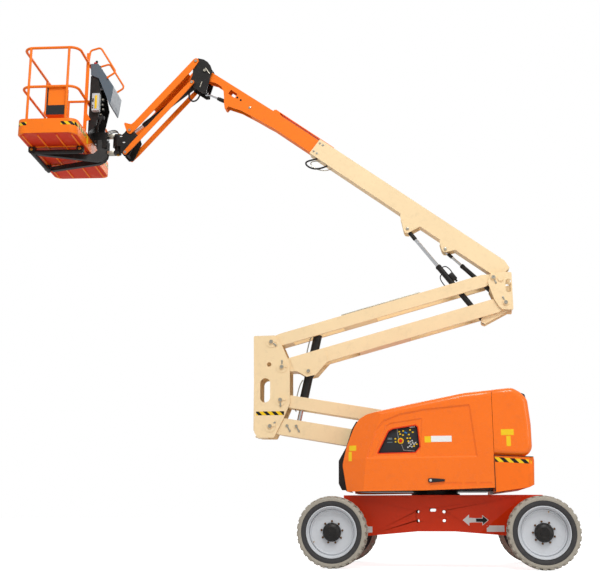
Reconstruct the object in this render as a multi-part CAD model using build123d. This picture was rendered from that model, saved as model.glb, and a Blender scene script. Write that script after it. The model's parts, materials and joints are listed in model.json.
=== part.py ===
"""Articulating boom lift: a wheeled chassis, a turret, a two-stage tower, a telescopic boom, a jib and a platform.

Millimetres. +Z is up, +X points to the counterweight end, and the booms reach towards -X. The origin is on the
ground, straight below the swing axis. A side view is drawn as (x, z) pairs, and widths run along Y, where most
pieces are symmetric.
"""

import os
from math import atan2, cos, degrees, hypot, radians, sin

from build123d import *

os.makedirs("parts", exist_ok=True)

# ---- Driving dimensions ----

# Clearances
RUN_FIT = 0.06  # radial, a pin in its bore
SIDE_GAP = 6.0  # between pieces that pass each other

# Wheels and chassis
WHEEL_RADIUS = 350.0
WHEELBASE = 2050.0
TYRE_WIDTH = 240.0
OVERALL_WIDTH = 1750.0
RIM_RADIUS = 246.0
HUB_RADIUS = 92.0
HUB_INSET = 60.0  # the wheel's mounting face, from the tyre's inner side
SEAT_GAP = 0.3  # between a turning piece and the face it runs on
FRAME_TOP = 715.0
FRAME_HALF_WIDTH = 390.0
FRAME_WALL = 12.0
KINGPIN_Y = 540.0
STEER_ARM = 130.0
KINGPIN_RADIUS = 20.0
TIE_ROD_Z = 273.0
TIE_ROD_RADIUS = 13.0
TIE_DOWN_Y = 180.0
TIE_DOWN_Z = 645.0  # middle of the lashing plate
TIE_DOWN_PLATE = 18.0
TIE_DOWN_REACH = 90.0
TIE_DOWN_HOLE_X = 52.0  # hole, out from the frame's end
TIE_DOWN_HOLE = 21.0
BEARING_RADIUS = 255.0
BEARING_HEIGHT = 47.0

# Turret
DECK_THICKNESS = 24.0
HOOD_HALF_WIDTH = 800.0
GAP_HALF_WIDTH = 240.0  # the slot between the two hoods, where the tower folds
HOOD_BOTTOM = 752.0
HOOD_WALL = 8.0
COVER_EDGE = 60.0  # radius where a cover turns from its side to its top
COVER_CORNER = 110.0  # radius of the corners in its side view
COVER_LOW = 900.0  # corners above this height are rounded
HOOD_SEAM = 4.0  # between a hood and the rear cover
HOOD_HINGE = (262.0, 1712.0)  # y and z of a hood's hinge pin, which lies along x
HOOD_PIN_RADIUS = 8.0
TAIL_X = 980.0
SEAM_X = 590.0  # hood to counterweight
COUNTERWEIGHT_TOP = 1088.0

# Tower: two parallelograms, one above the other
LOWER_PIN = (194.0, 1121.5)  # lower boom's pin in the turret
LOWER_LENGTH = 1998.5
LOWER_TILT = 9.9
LOWER_SPACING = (114.0, 286.0)  # from the lower boom's pins to the lower link's pins
MID_HEIGHT = (9.0, 937.0)  # from the lower boom's outer pin to the upper link's pin
UPPER_LENGTH = 2555.0
UPPER_TILT = 14.85
UPPER_SPACING = (120.0, -285.0)  # from the upper link's pins to the upper arm's pins
UPRIGHT_HALF_WIDTH = 130.0
UPRIGHT_PLATE = 12.0
ARM_HALF_WIDTH = 110.0
ARM_SLOT_HALF = 82.0
TOWER_PIN_RADIUS = 22.0

# Main boom
BOOM_PIVOT = (76.0, -16.0)  # from the upper link's pin on the upper upright
BOOM_TILT = 37.2
BASE_LENGTH = 2660.0
BASE_DEPTH = 208.0
BASE_HALF_WIDTH = 75.0
BASE_WALL = 8.0
FLY_HALF_WIDTH = 59.0
FLY_BOTTOM = 13.0
FLY_TOP = 189.0
FLY_OUT = 540.0  # how far the fly stands out at rest
FLY_NOSE = (-4361.0, 125.0)  # head pivot, along and across the boom from its pivot

# Jib
JIB_LENGTH = 1172.0
JIB_TILT = 47.0
JIB_SPACING = (-37.0, -288.0)  # from the jib boom's pins to the jib links' pins
JIB_HALF_WIDTH = 110.0
LINK_HALF_WIDTH = 134.0
LINK_PIN = 14.0
HEAD_HALF_WIDTH = 96.0
HEAD_TO_JIB = (-112.0, 131.0)  # from the head pivot to the jib boom's pin

# Platform
PLATFORM_YAW = 5.0
PLATFORM_WIDTH = 700.0  # along X
PLATFORM_LENGTH = 1540.0  # along Y
RAIL_HEIGHT = 1090.0
RAIL_RADIUS = 16.0
RAIL_INSET = 22.0  # rail centres, in from the floor's edge
TOE_HEIGHT = 175.0


# ---- Helpers ----

def move(pin, offset):
    return (pin[0] + offset[0], pin[1] + offset[1])


def reach(pin, length, tilt):
    """The point at a length from a pin, tilted up from +X."""
    return (pin[0] + length * cos(radians(tilt)), pin[1] + length * sin(radians(tilt)))


def at(pin, tilt=0.0):
    """A side-view frame at a pin, whose x axis is tilted up by an angle."""
    return Location((pin[0], 0, pin[1]), (0, -tilt, 0))


def local_to_side(pin, tilt, point):
    turn = radians(tilt)
    return (
        pin[0] + point[0] * cos(turn) - point[1] * sin(turn),
        pin[1] + point[0] * sin(turn) + point[1] * cos(turn),
    )


def block(x0, x1, y0, y1, z0, z1):
    return Pos((x0 + x1) / 2, (y0 + y1) / 2, (z0 + z1) / 2) * Box(x1 - x0, y1 - y0, z1 - z0)


def plate(points, y0, y1, radius=0.0):
    """A side-view outline with its corners rounded, from y0 to y1."""
    outline = make_face(Polyline(*points, close=True))
    if radius:
        outline = fillet(outline.vertices(), radius)
    return extrude(Plane.XZ.offset(-y1) * outline, y1 - y0)


def disc(x, z, radius, y0, y1):
    """A round bar along Y."""
    return Pos(x, (y0 + y1) / 2, z) * Rot(90, 0, 0) * Cylinder(radius, y1 - y0)


def both(shape):
    """A piece and its mirror image on the other side."""
    return shape + mirror(shape, about=Plane.XZ)


def bar(start, end, radius):
    """A straight round bar between two points."""
    line = Line(start, end)
    return sweep(Plane(origin=line @ 0, z_dir=line % 0) * Circle(radius), path=line)


def bent_tube(points, radius, bends):
    """A round bar along straight runs, with its corners bent."""
    path = FilletPolyline(*points, radius=bends)
    return sweep(Plane(origin=path @ 0, z_dir=path % 0) * Circle(radius), path=path)


def slot_cutter(x, z, width, height, y0, y1):
    """An upright slot with round ends."""
    half = (height - width) / 2
    straight = block(x - width / 2, x + width / 2, y0, y1, z - half, z + half)
    return straight + disc(x, z + half, width / 2, y0, y1) + disc(x, z - half, width / 2, y0, y1)


def save(name, shape):
    export_step(shape, f"parts/{name}.step")


# ---- Tower and boom pins, in the side view ----

lower_turret = LOWER_PIN
link_turret = move(lower_turret, LOWER_SPACING)
lower_mid = reach(lower_turret, -LOWER_LENGTH, -LOWER_TILT)
link_mid = move(lower_mid, LOWER_SPACING)
upper_link_mid = move(lower_mid, MID_HEIGHT)
upper_arm_mid = move(upper_link_mid, UPPER_SPACING)
upper_link_top = reach(upper_link_mid, UPPER_LENGTH, UPPER_TILT)
upper_arm_top = move(upper_link_top, UPPER_SPACING)
boom_pivot = move(upper_link_top, BOOM_PIVOT)
head_pivot = local_to_side(boom_pivot, -BOOM_TILT, FLY_NOSE)
jib_head = move(head_pivot, HEAD_TO_JIB)
links_head = move(jib_head, JIB_SPACING)
jib_end = reach(jib_head, -JIB_LENGTH, JIB_TILT)
links_end = move(jib_end, JIB_SPACING)

# Cylinder pins: on the tower, under the boom, in the fly's nose and inside the jib
TOWER_ROD_EYE = (285.0, 49.0)  # along and across the lower boom, from its outer pin
TOWER_TRUNNION = (295.0, -50.0)  # on the upper arm, from its lower pin
LIFT_BASE = (-117.0, -467.0)  # on the upper upright, from the upper link's pin
LIFT_EYE = (-1181.0, -106.0)  # on the main boom
MASTER_BASE = (-14.0, -127.0)
MASTER_EYE = (-697.0, -54.0)
SLAVE_BASE = (-3599.0, 33.0)  # in the fly, along and across the main boom
SLAVE_EYE = (3.0, -260.0)  # on the head, from its pivot

tower_rod = local_to_side(lower_mid, -LOWER_TILT, TOWER_ROD_EYE)
tower_trunnion = move(upper_arm_mid, TOWER_TRUNNION)
lift_base = move(upper_link_top, LIFT_BASE)
lift_eye = local_to_side(boom_pivot, -BOOM_TILT, LIFT_EYE)
master_base = move(upper_link_top, MASTER_BASE)
master_eye = local_to_side(boom_pivot, -BOOM_TILT, MASTER_EYE)
slave_base = local_to_side(boom_pivot, -BOOM_TILT, SLAVE_BASE)
slave_eye = move(head_pivot, SLAVE_EYE)


# ---- Wheels ----

def wheel(x, side):
    """A tyre on its rim, with the hub dome outwards. side is -1 or 1 along Y."""
    half = TYRE_WIDTH / 2
    shoulder = 26.0
    tyre_profile = [
        (RIM_RADIUS, -half + 20),
        (WHEEL_RADIUS - 50, -half),
        (WHEEL_RADIUS - shoulder, -half + 4),
        (WHEEL_RADIUS, -half + shoulder),
        (WHEEL_RADIUS, half - shoulder),
        (WHEEL_RADIUS - shoulder, half - 4),
        (WHEEL_RADIUS - 50, half),
        (RIM_RADIUS, half - 20),
    ]
    rim_profile = [  # radius, across, from the inside to the dome
        (0, -half + HUB_INSET),
        (150, -half + HUB_INSET),
        (150, half - 110),
        (RIM_RADIUS - 14, half - 110),
        (RIM_RADIUS - 14, -half + 22),
        (RIM_RADIUS, -half + 22),
        (RIM_RADIUS, half - 12),
        (RIM_RADIUS - 16, half - 12),
        (RIM_RADIUS - 40, half - 42),
        (RIM_RADIUS - 44, half - 66),
        (HUB_RADIUS, half - 74),
        (HUB_RADIUS, half - 26),
        (HUB_RADIUS - 26, half - 6),
        (0, half),
    ]
    tyre = revolve(make_face(Polyline(*tyre_profile, close=True)), Axis.Y)
    rim = revolve(make_face(Polyline(*rim_profile, close=True)), Axis.Y)
    place = Location((x, side * (OVERALL_WIDTH / 2 - half), WHEEL_RADIUS), (0, 0, 0 if side > 0 else 180))
    return place * tyre, place * rim


WHEELS = {  # name: x, side
    "drive_left": (-WHEELBASE / 2, -1),
    "drive_right": (-WHEELBASE / 2, 1),
    "steer_left": (WHEELBASE / 2, -1),
    "steer_right": (WHEELBASE / 2, 1),
}
for name, (x, side) in WHEELS.items():
    tyre, rim = wheel(x, side)
    save(f"tyre_{name}", tyre)
    save(f"rim_{name}", rim)


# ---- Chassis ----

STEER_X = WHEELBASE / 2
HUB_FACE = OVERALL_WIDTH / 2 - TYRE_WIDTH + HUB_INSET
FRAME_LOW = FRAME_TOP - 363
FRAME_END = (-STEER_X + 80, STEER_X + 55)
SADDLE_SLOPE = ((STEER_X - 170, FRAME_LOW - 20), (FRAME_END[1], FRAME_TOP - 120))  # over the steered axle
DRIVE_SLOPE = ((FRAME_END[0], FRAME_LOW + 130), (-STEER_X + 130, FRAME_LOW - 20))


def frame_box(inset):
    """The welded frame, drawn in by an amount. Its sides fold inwards at the steered end."""
    outline = [
        (FRAME_END[0] + inset, FRAME_TOP - inset),
        (FRAME_END[1] - inset, FRAME_TOP - inset),
        (SADDLE_SLOPE[1][0] - inset, SADDLE_SLOPE[1][1] + inset / 2),
        (SADDLE_SLOPE[0][0] - inset / 2, SADDLE_SLOPE[0][1] + inset),
        (STEER_X - 330, FRAME_LOW - 40 + inset),
        (190, FRAME_LOW + inset),
        (-190, FRAME_LOW + inset),
        (-STEER_X + 325, FRAME_LOW - 46 + inset),
        (DRIVE_SLOPE[1][0] + inset / 2, DRIVE_SLOPE[1][1] + inset),
        (DRIVE_SLOPE[0][0] + inset, DRIVE_SLOPE[0][1] + inset / 2),
    ]
    half = FRAME_HALF_WIDTH - inset
    solid = plate(outline, -half, half)
    for side in (-1, 1):
        fold = Plane(
            origin=(STEER_X - 305, side * half, FRAME_TOP - 150),
            z_dir=Vector(0.33, side, -0.42),
        )
        solid = split(solid, bisect_by=fold, keep=Keep.BOTTOM)
    return solid


def on_slope(slope, x):
    (x0, z0), (x1, z1) = slope
    return (x, z0 + (x - x0) * (z1 - z0) / (x1 - x0))


frame = frame_box(0) - frame_box(FRAME_WALL)
for x, z in ((-186, 549), (82, 549), (-186, 456), (82, 456)):
    frame -= disc(x, z, 17, -FRAME_HALF_WIDTH - 1, FRAME_HALF_WIDTH + 1)
frame -= Pos(-33, 0, 566) * Rot(90, 0, 0) * extrude(SlotOverall(70, 34), FRAME_HALF_WIDTH + 1, both=True)
for end_x, direction in ((FRAME_END[0], -1), (FRAME_END[1], 1)):
    for y in (-TIE_DOWN_Y, TIE_DOWN_Y):
        far = end_x + direction * TIE_DOWN_REACH
        lug = block(min(end_x, far), max(end_x, far), y - 45, y + 45, TIE_DOWN_Z - TIE_DOWN_PLATE / 2, TIE_DOWN_Z + TIE_DOWN_PLATE / 2)
        lug = fillet(lug.edges().filter_by(Axis.Z).filter_by(lambda e: abs(e.center().X - far) < 1), 28)
        frame += lug - Pos(end_x + direction * TIE_DOWN_HOLE_X, y, TIE_DOWN_Z) * Cylinder(TIE_DOWN_HOLE, 2 * TIE_DOWN_PLATE)
save("chassis_frame", frame)

drive_outline = [
    (-STEER_X - 80, 290),
    (-STEER_X - 80, 430),
    (-STEER_X - 20, DRIVE_SLOPE[0][1]),
    DRIVE_SLOPE[0],
    DRIVE_SLOPE[1],
    (DRIVE_SLOPE[1][0] - 20, 290),
]
drive_axle = plate(drive_outline, -FRAME_HALF_WIDTH, FRAME_HALF_WIDTH)
drive_axle += both(disc(-STEER_X, WHEEL_RADIUS, 105, FRAME_HALF_WIDTH, FRAME_HALF_WIDTH + 170))
drive_axle += both(disc(-STEER_X, WHEEL_RADIUS, 72, FRAME_HALF_WIDTH + 170, HUB_FACE - SEAT_GAP))
save("drive_axle", drive_axle)

AXLE_BOTTOM, AXLE_TOP = 290.0, 410.0
EAR = 34.0  # the kingpin's ears above and below the axle
steer_axle = block(STEER_X - 70, STEER_X + 70, -430, 430, AXLE_BOTTOM, AXLE_TOP)
steer_axle += both(block(STEER_X - 55, STEER_X + 55, 400, 430, AXLE_BOTTOM - EAR, AXLE_TOP + EAR))
for z0, z1 in ((AXLE_BOTTOM - EAR, AXLE_BOTTOM - SIDE_GAP), (AXLE_TOP + SIDE_GAP, AXLE_TOP + EAR)):
    steer_axle += both(block(STEER_X - 55, STEER_X + 55, 400, KINGPIN_Y, z0, z1))
    steer_axle += both(Pos(STEER_X, KINGPIN_Y, (z0 + z1) / 2) * Cylinder(55, z1 - z0))
steer_axle += both(Pos(STEER_X, KINGPIN_Y, (AXLE_BOTTOM + AXLE_TOP) / 2) * Cylinder(KINGPIN_RADIUS, AXLE_TOP - AXLE_BOTTOM + 2 * EAR))
saddle = [(STEER_X - 60, AXLE_TOP), (STEER_X + 40, AXLE_TOP), on_slope(SADDLE_SLOPE, STEER_X + 40), on_slope(SADDLE_SLOPE, STEER_X - 60)]
steer_axle += plate(saddle, -150, 150)
save("steer_axle", steer_axle)


def steering_knuckle(side):
    """A block on the kingpin, with the wheel's spindle outwards and the steering arm towards the drive end."""
    y = KINGPIN_Y
    middle = (AXLE_BOTTOM + AXLE_TOP) / 2
    body = Pos(STEER_X, y, middle) * Cylinder(52, AXLE_TOP - AXLE_BOTTOM)
    body += disc(STEER_X, WHEEL_RADIUS, 62, y, HUB_FACE - SEAT_GAP) & block(
        STEER_X - 62, STEER_X + 62, y, HUB_FACE, AXLE_BOTTOM, AXLE_TOP
    )
    arm = block(STEER_X - STEER_ARM, STEER_X, y - 20, y + 20, AXLE_BOTTOM, AXLE_BOTTOM + 20)
    arm += Pos(STEER_X - STEER_ARM, y, AXLE_BOTTOM + 10) * Cylinder(20, 20)
    body += arm
    body -= Pos(STEER_X, y, middle) * Cylinder(KINGPIN_RADIUS + RUN_FIT, 200)
    body -= Pos(STEER_X - STEER_ARM, y, AXLE_BOTTOM + 10) * Cylinder(8 + RUN_FIT, 30)
    return body if side > 0 else mirror(body, about=Plane.XZ)


save("steer_knuckle_left", steering_knuckle(-1))
save("steer_knuckle_right", steering_knuckle(1))

tie_x = STEER_X - STEER_ARM
tie_rod = disc(tie_x, TIE_ROD_Z, TIE_ROD_RADIUS, -KINGPIN_Y, KINGPIN_Y)
for y in (-KINGPIN_Y, KINGPIN_Y):
    tie_rod += Pos(tie_x, y, TIE_ROD_Z) * Cylinder(17, 2 * TIE_ROD_RADIUS + 4)
    tie_rod += Pos(tie_x, y, (TIE_ROD_Z + AXLE_BOTTOM + 26) / 2) * Cylinder(8, AXLE_BOTTOM + 26 - TIE_ROD_Z)
save("tie_rod", tie_rod)

DECK_BOTTOM = FRAME_TOP + BEARING_HEIGHT
bearing_split = FRAME_TOP + 22
save("swing_bearing", Pos(0, 0, (FRAME_TOP + bearing_split) / 2) * Cylinder(BEARING_RADIUS, bearing_split - FRAME_TOP))

# ---- Turret ----

DECK_TOP = DECK_BOTTOM + DECK_THICKNESS
TOWER_PLATE_Y = (206.0, 226.0)
FRONT_PANEL_Y = (GAP_HALF_WIDTH - 12, GAP_HALF_WIDTH - 4)
FRONT_PANEL = [(-814, 1498), (-865, 1414), (-931, 1216), (-1011, 1076), (-1013, 838), (-978, 770), (-600, DECK_BOTTOM), (-600, 1300)]
deck_edge = [(SEAM_X - 20, HOOD_HALF_WIDTH - 30), (-690, HOOD_HALF_WIDTH - 32), (-840, 690)]
deck_plan = Polyline(*deck_edge, *[(x, -y) for x, y in reversed(deck_edge)], close=True)
deck = Pos(0, 0, DECK_BOTTOM) * extrude(make_face(deck_plan), DECK_THICKNESS)
deck += block(SEAM_X - 20, SEAM_X, -TOWER_PLATE_Y[1], TOWER_PLATE_Y[1], DECK_BOTTOM, DECK_TOP)
ring_bottom = bearing_split + SEAT_GAP
deck += Pos(0, 0, (ring_bottom + DECK_BOTTOM) / 2) * Cylinder(BEARING_RADIUS - 20, DECK_BOTTOM - ring_bottom)
tower_outline = [
    (60, DECK_TOP),
    (SEAM_X, DECK_TOP),
    (SEAM_X, DECK_TOP + 200),
    (link_turret[0] + 70, link_turret[1] + 20),
    (link_turret[0] + 20, link_turret[1] + 62),
    (link_turret[0] - 40, link_turret[1] + 62),
    (link_turret[0] - 70, link_turret[1] + 20),
    (lower_turret[0] - 90, lower_turret[1] - 20),
]
deck += both(plate(tower_outline, *TOWER_PLATE_Y, radius=18))
deck += both(plate(FRONT_PANEL, *FRONT_PANEL_Y, radius=12))
for pin in (lower_turret, link_turret):
    deck += disc(*pin, TOWER_PIN_RADIUS, -TOWER_PLATE_Y[1] - 10, TOWER_PLATE_Y[1] + 10)
    deck += both(disc(*pin, TOWER_PIN_RADIUS + 14, ARM_HALF_WIDTH + 1, TOWER_PLATE_Y[0]))
save("turret_base", deck)

weight_outline = [
    (SEAM_X, 734),
    (915, 780),
    (966, 805),
    (TAIL_X - 4, 1040),
    (TAIL_X - 8, 1070),
    (SEAM_X, COUNTERWEIGHT_TOP),
]
weight = plate(weight_outline, -HOOD_HALF_WIDTH + 6, HOOD_HALF_WIDTH - 6)
weight = fillet(weight.edges().filter_by(Axis.Z, tolerance=12).filter_by(lambda e: e.center().X > 900), 60)
save("counterweight", weight)

HOOD_FRONT = [
    (-880, HOOD_BOTTOM - 8),
    (-925, 1010),
    (-881, 1196),
    (-805, 1385),
    (-752, 1468),
    (-680, 1511),
    (-548, 1545),
    (-167, 1623),
    (319, 1716),
    (SEAM_X - HOOD_SEAM, 1741),
    (SEAM_X - HOOD_SEAM, 776),
    (-112, HOOD_BOTTOM),
]
COVER = [
    (SEAM_X, COUNTERWEIGHT_TOP),
    (SEAM_X, 1742),
    (791, 1761),
    (874, 1713),
    (938, 1640),
    (961, 1391),
    (962, 1071),
]


SIDE_PANEL = [(-681, 1062), (-572, 1358), (-500, 1447), (-330, 1512), (-87, 1556), (372, 1597), (388, 1452), (430, 1072)]
BEZEL = [(-607, 1080), (-473, 1398), (-426, 1421), (-103, 1468), (-130, 1130), (-170, 1084)]
WINDOW = [(-573, 1110), (-454, 1343), (-407, 1369), (-171, 1404), (-146, 1380), (-128, 1176), (-179, 1117)]
BELT = [(-50, 264), (296, 407), (438, 555)]  # the pressed strips along the sill, from and to
BELT_Z = (801.0, 828.0)
PRESS_DEPTH = 12.0
PRESS_TAPER = 52.0  # how far the pressed walls lean, in degrees from square
CREASE_LOW = (-699.0, 812.0)  # where the front corner turns in from the side
CREASE_HIGH = (-572.0, 1358.0)
CORNER_TURN = 27.0  # degrees


def soft_outline(outline, seam_x, radius, inset=0.0):
    """The covers' side view with soft corners, apart from those at the seam and along the bottom."""
    face = make_face(Polyline(*outline, close=True))
    if inset:
        face = offset(face, -inset, kind=Kind.INTERSECTION)
    soft = [v for v in face.vertices() if abs(v.X - seam_x) > inset + 1 and v.Y > COVER_LOW]
    return fillet(soft, radius - inset)


def pressing(outline, start, depth, inset):
    """What a pressed panel takes off a cover's side, with leaning walls. start is how deep it begins."""
    face = make_face(Polyline(*outline, close=True))
    face = fillet(face.vertices(), 16)
    if inset:
        face = offset(face, inset * 0.6, kind=Kind.INTERSECTION)
    return extrude(Plane.XZ.offset(-HOOD_HALF_WIDTH + start + inset) * face, depth, taper=PRESS_TAPER)


def cover_shell(outline, seam_x, panels, cut_corner=False):
    """A moulded cover, open towards the middle of the machine, with pressed panels in its side."""

    def rounded(inset):
        flat = soft_outline(outline, seam_x, COVER_CORNER, inset)
        solid = extrude(Plane.XZ.offset(-HOOD_HALF_WIDTH + inset) * flat, HOOD_HALF_WIDTH - inset - GAP_HALF_WIDTH + (10 if inset else 0))
        edge = [
            e
            for e in solid.edges()
            if abs(e.center().Y - HOOD_HALF_WIDTH + inset) < 1 and e.center().Z > COVER_LOW and abs(e.center().X - seam_x) > inset + 2
        ]
        solid = fillet(edge, COVER_EDGE - inset)
        if cut_corner:
            inwards = Vector(-cos(radians(CORNER_TURN)), -sin(radians(CORNER_TURN)), 0)
            knee = Vector(SIDE_PANEL[0][0], HOOD_HALF_WIDTH, SIDE_PANEL[0][1])
            for end in (CREASE_LOW, CREASE_HIGH):
                along = Vector(end[0] - knee.X, 0, end[1] - knee.Z)
                normal = inwards.cross(along).normalized()
                normal = normal if normal.Y > 0 else -normal
                solid = split(solid, bisect_by=Plane(origin=knee - normal * inset, z_dir=normal), keep=Keep.BOTTOM)
        for panel, start, depth in panels:
            solid -= pressing(panel, start, depth, inset)
        return solid

    return rounded(0) - rounded(HOOD_WALL)


def hinge_bar(x0, x1, radius):
    return Pos((x0 + x1) / 2, *HOOD_HINGE) * Rot(0, 90, 0) * Cylinder(radius, x1 - x0)


hood_end = SEAM_X - HOOD_SEAM
boss_start = hood_end - HOOD_WALL - 24
side_panel = (SIDE_PANEL, 0, PRESS_DEPTH)
bezel = (BEZEL, PRESS_DEPTH, PRESS_DEPTH * 0.7)


def hood_shell(panels):
    hood = cover_shell(HOOD_FRONT, hood_end, panels, cut_corner=True)
    lip = [
        (-860, GAP_HALF_WIDTH - 10),
        (hood_end - HOOD_WALL, GAP_HALF_WIDTH - 10),
        (hood_end - HOOD_WALL, HOOD_HALF_WIDTH - HOOD_WALL),
        (-695, HOOD_HALF_WIDTH - HOOD_WALL - 6),
        (-860, 702),
    ]
    hood -= Pos(0, 0, HOOD_BOTTOM - 60) * extrude(make_face(Polyline(*lip, close=True)), 100)
    for x0, x1 in BELT:
        strip = block(x0, x1, HOOD_HALF_WIDTH - 5, HOOD_HALF_WIDTH + 1, *BELT_Z)
        hood -= fillet(strip.edges().filter_by(Axis.Y), 8)
    hood += hinge_bar(boss_start, hood_end, HOOD_PIN_RADIUS + 12)
    return hood - hinge_bar(boss_start - 1, hood_end + 1, HOOD_PIN_RADIUS + RUN_FIT)


window = plate(WINDOW, -HOOD_HALF_WIDTH - 1, -HOOD_HALF_WIDTH + 100, radius=14)
save("hood_right", hood_shell([side_panel]))
save("hood_left", mirror(hood_shell([side_panel, bezel]), about=Plane.XZ) - window)

cover = cover_shell(COVER, SEAM_X, [])
cover += hinge_bar(boss_start + 2, SEAM_X + HOOD_WALL, HOOD_PIN_RADIUS)
save("rear_cover_right", cover)
save("rear_cover_left", mirror(cover, about=Plane.XZ))

PACK = (-640, 480)
for name, side in (("left", -1), ("right", 1)):
    tray = block(*PACK, 300, 730, DECK_TOP, 1052)
    tray = fillet(tray.edges().filter_by(Axis.Z), 12)
    save(f"battery_pack_{name}", tray if side > 0 else mirror(tray, about=Plane.XZ))

controls = block(-590, -140, -742, -712, 1052, 1400)
controls += disc(-330, 1290, 34, -750, -742)
controls += block(-520, -440, -748, -742, 1180, 1240) + block(-420, -240, -748, -742, 1130, 1200)
save("ground_controls", controls)

# ---- Tower ----


END_TAPER = 110.0  # how far from a pin an arm reaches its full depth


def rounded_bar(length, low, high, end0, end1, y0, y1):
    """A side plate along x between two pins, with round ends of given radii."""
    taper = END_TAPER
    outline = [
        (-end0 * 0.6, -end0 * 0.8),
        (taper, low),
        (length - taper, low),
        (length + end1 * 0.6, -end1 * 0.8),
        (length + end1, 0),
        (length + end1 * 0.6, end1 * 0.8),
        (length - taper, high),
        (taper, high),
        (-end0 * 0.6, end0 * 0.8),
        (-end0, 0),
    ]
    return plate(outline, y0, y1)


def box_beam(length, low, high, half, wall, end0, end1, top_slots, bottom_slots, open_end=False):
    """A box-section arm between two pins, with slots that let the cylinders and the boom through."""
    beam = rounded_bar(length, low, high, end0, end1, -half, half)
    beam -= rounded_bar(length, low + wall, high - wall, end0 - wall, end1 - wall, -half + wall, half - wall)
    for s0, s1 in top_slots:
        beam -= block(s0, s1, -ARM_SLOT_HALF, ARM_SLOT_HALF, 0, high + 1)
    for s0, s1 in bottom_slots:
        beam -= block(s0, s1, -ARM_SLOT_HALF, ARM_SLOT_HALF, low - 1, 0)
    pin, boss = TOWER_PIN_RADIUS, TOWER_PIN_RADIUS + 16
    beam += disc(0, 0, boss, -half, half)
    if open_end:
        beam -= block(length - END_TAPER, length + end1 + 1, -ARM_SLOT_HALF, ARM_SLOT_HALF, low - 1, high + 1)
        beam += both(disc(length, 0, boss, ARM_SLOT_HALF + 2, half))
    else:
        beam += disc(length, 0, boss, -half, half)
    for x in (0, length):
        beam -= disc(x, 0, pin + RUN_FIT, -half - 1, half + 1)
    return beam


lower = box_beam(LOWER_LENGTH, -71, 112, ARM_HALF_WIDTH, 8, 62, 62, [(120, 372)], [])
lower += both(disc(*TOWER_ROD_EYE, 18, 30, ARM_HALF_WIDTH + 8)) + both(disc(*TOWER_ROD_EYE, 26, 30, ARM_HALF_WIDTH))
save("lower_boom", at(lower_mid, -LOWER_TILT) * lower)

link = box_beam(LOWER_LENGTH, -68, 69, ARM_HALF_WIDTH, 8, 58, 58, [(80, 402)], [(80, 402)])
save("lower_link", at(link_mid, -LOWER_TILT) * link)

MID_OUTLINE = [
    (-1968, 2474),
    (-1723, 2475),
    (-1640, 2347),
    (-1558, 2151),
    (-1556, 1709),
    (-1624, 1551),
    (-1733, 1337),
    (-1912, 1340),
    (-1951, 1397),
]
inner, outer = UPRIGHT_HALF_WIDTH - UPRIGHT_PLATE, UPRIGHT_HALF_WIDTH
mid = plate(MID_OUTLINE, inner, outer, radius=16)
mid -= slot_cutter(-1833, 1860, 112, 269, inner - 1, outer + 1)
mid -= disc(-1790, 2148, 25, inner - 1, outer + 1)
mid = both(mid)
mid += block(-1962, -1950, -inner, inner, 1420, 2380)
mid += block(-1940, -1826, -inner, inner, 1346, 1358)
for pin in (upper_link_mid, upper_arm_mid, link_mid, lower_mid):
    mid += disc(*pin, TOWER_PIN_RADIUS, -outer - 4, outer + 4)
    mid += both(disc(*pin, TOWER_PIN_RADIUS + 42, outer, outer + 5))
    mid += both(disc(*pin, TOWER_PIN_RADIUS + 6, outer + 5, outer + 15))
    mid += both(block(pin[0] + 20, pin[0] + 62, outer + 5, outer + 12, pin[1] - 6, pin[1] + 30))
save("mid_upright", mid)

top_arm = box_beam(
    UPPER_LENGTH, -68, 68, ARM_HALF_WIDTH, 8, 58, 44,
    [(46, UPPER_LENGTH + 60)], [(230, 820), (UPPER_LENGTH - 1350, UPPER_LENGTH + 60)], open_end=True,
)
save("upper_link", at(upper_link_mid, UPPER_TILT) * top_arm)

low_arm = box_beam(
    UPPER_LENGTH, -79, 79, ARM_HALF_WIDTH, 8, 62, 50,
    [(180, 870), (UPPER_LENGTH - 1100, UPPER_LENGTH + 80)], [(180, 870), (UPPER_LENGTH - 1100, UPPER_LENGTH + 80)], open_end=True,
)
bracket_outline = [(110, 70), (120, -80), (150, -92), (235, -180), (340, -186), (512, -74), (512, 70)]
low_arm = low_arm + both(plate(bracket_outline, ARM_HALF_WIDTH, ARM_HALF_WIDTH + 6, radius=10))
trunnion_local = (
    TOWER_TRUNNION[0] * cos(radians(UPPER_TILT)) + TOWER_TRUNNION[1] * sin(radians(UPPER_TILT)),
    -TOWER_TRUNNION[0] * sin(radians(UPPER_TILT)) + TOWER_TRUNNION[1] * cos(radians(UPPER_TILT)),
)
low_arm += both(disc(*trunnion_local, 34, 62, ARM_HALF_WIDTH + 12))
low_arm -= disc(*trunnion_local, 20 + RUN_FIT, -ARM_HALF_WIDTH - 20, ARM_HALF_WIDTH + 20)
save("upper_arm", at(upper_arm_mid, UPPER_TILT) * low_arm)

TOP_OUTLINE = [
    (680, 3107),
    (820, 3117),
    (901, 3109),
    (902, 2689),
    (781, 2698),
    (744, 2738),
    (702, 2815),
    (650, 2972),
    (642, 3013),
]
CARRIER_Y = (69.0, 77.0)
CARRIER = [
    (lift_base[0] - 34, lift_base[1] + 12),
    (lift_base[0] - 30, lift_base[1] - 24),
    (lift_base[0] + 8, lift_base[1] - 40),
    (upper_arm_top[0] + 20, upper_arm_top[1] - 92),
    (884, upper_arm_top[1] - 80),
    (884, 2975),
    (800, 2960),
    (master_base[0] + 12, master_base[1] + 34),
    (master_base[0] - 30, master_base[1] + 22),
    (master_base[0] - 36, master_base[1] - 12),
    (upper_arm_top[0] - 110, upper_arm_top[1] + 20),
]
top = plate(TOP_OUTLINE, inner, outer, radius=14)
top -= slot_cutter(861, 2960, 60, 152, inner - 1, outer + 1)
top = both(top)
top += block(884, 896, -inner, inner, 2700, 3000)
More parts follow.
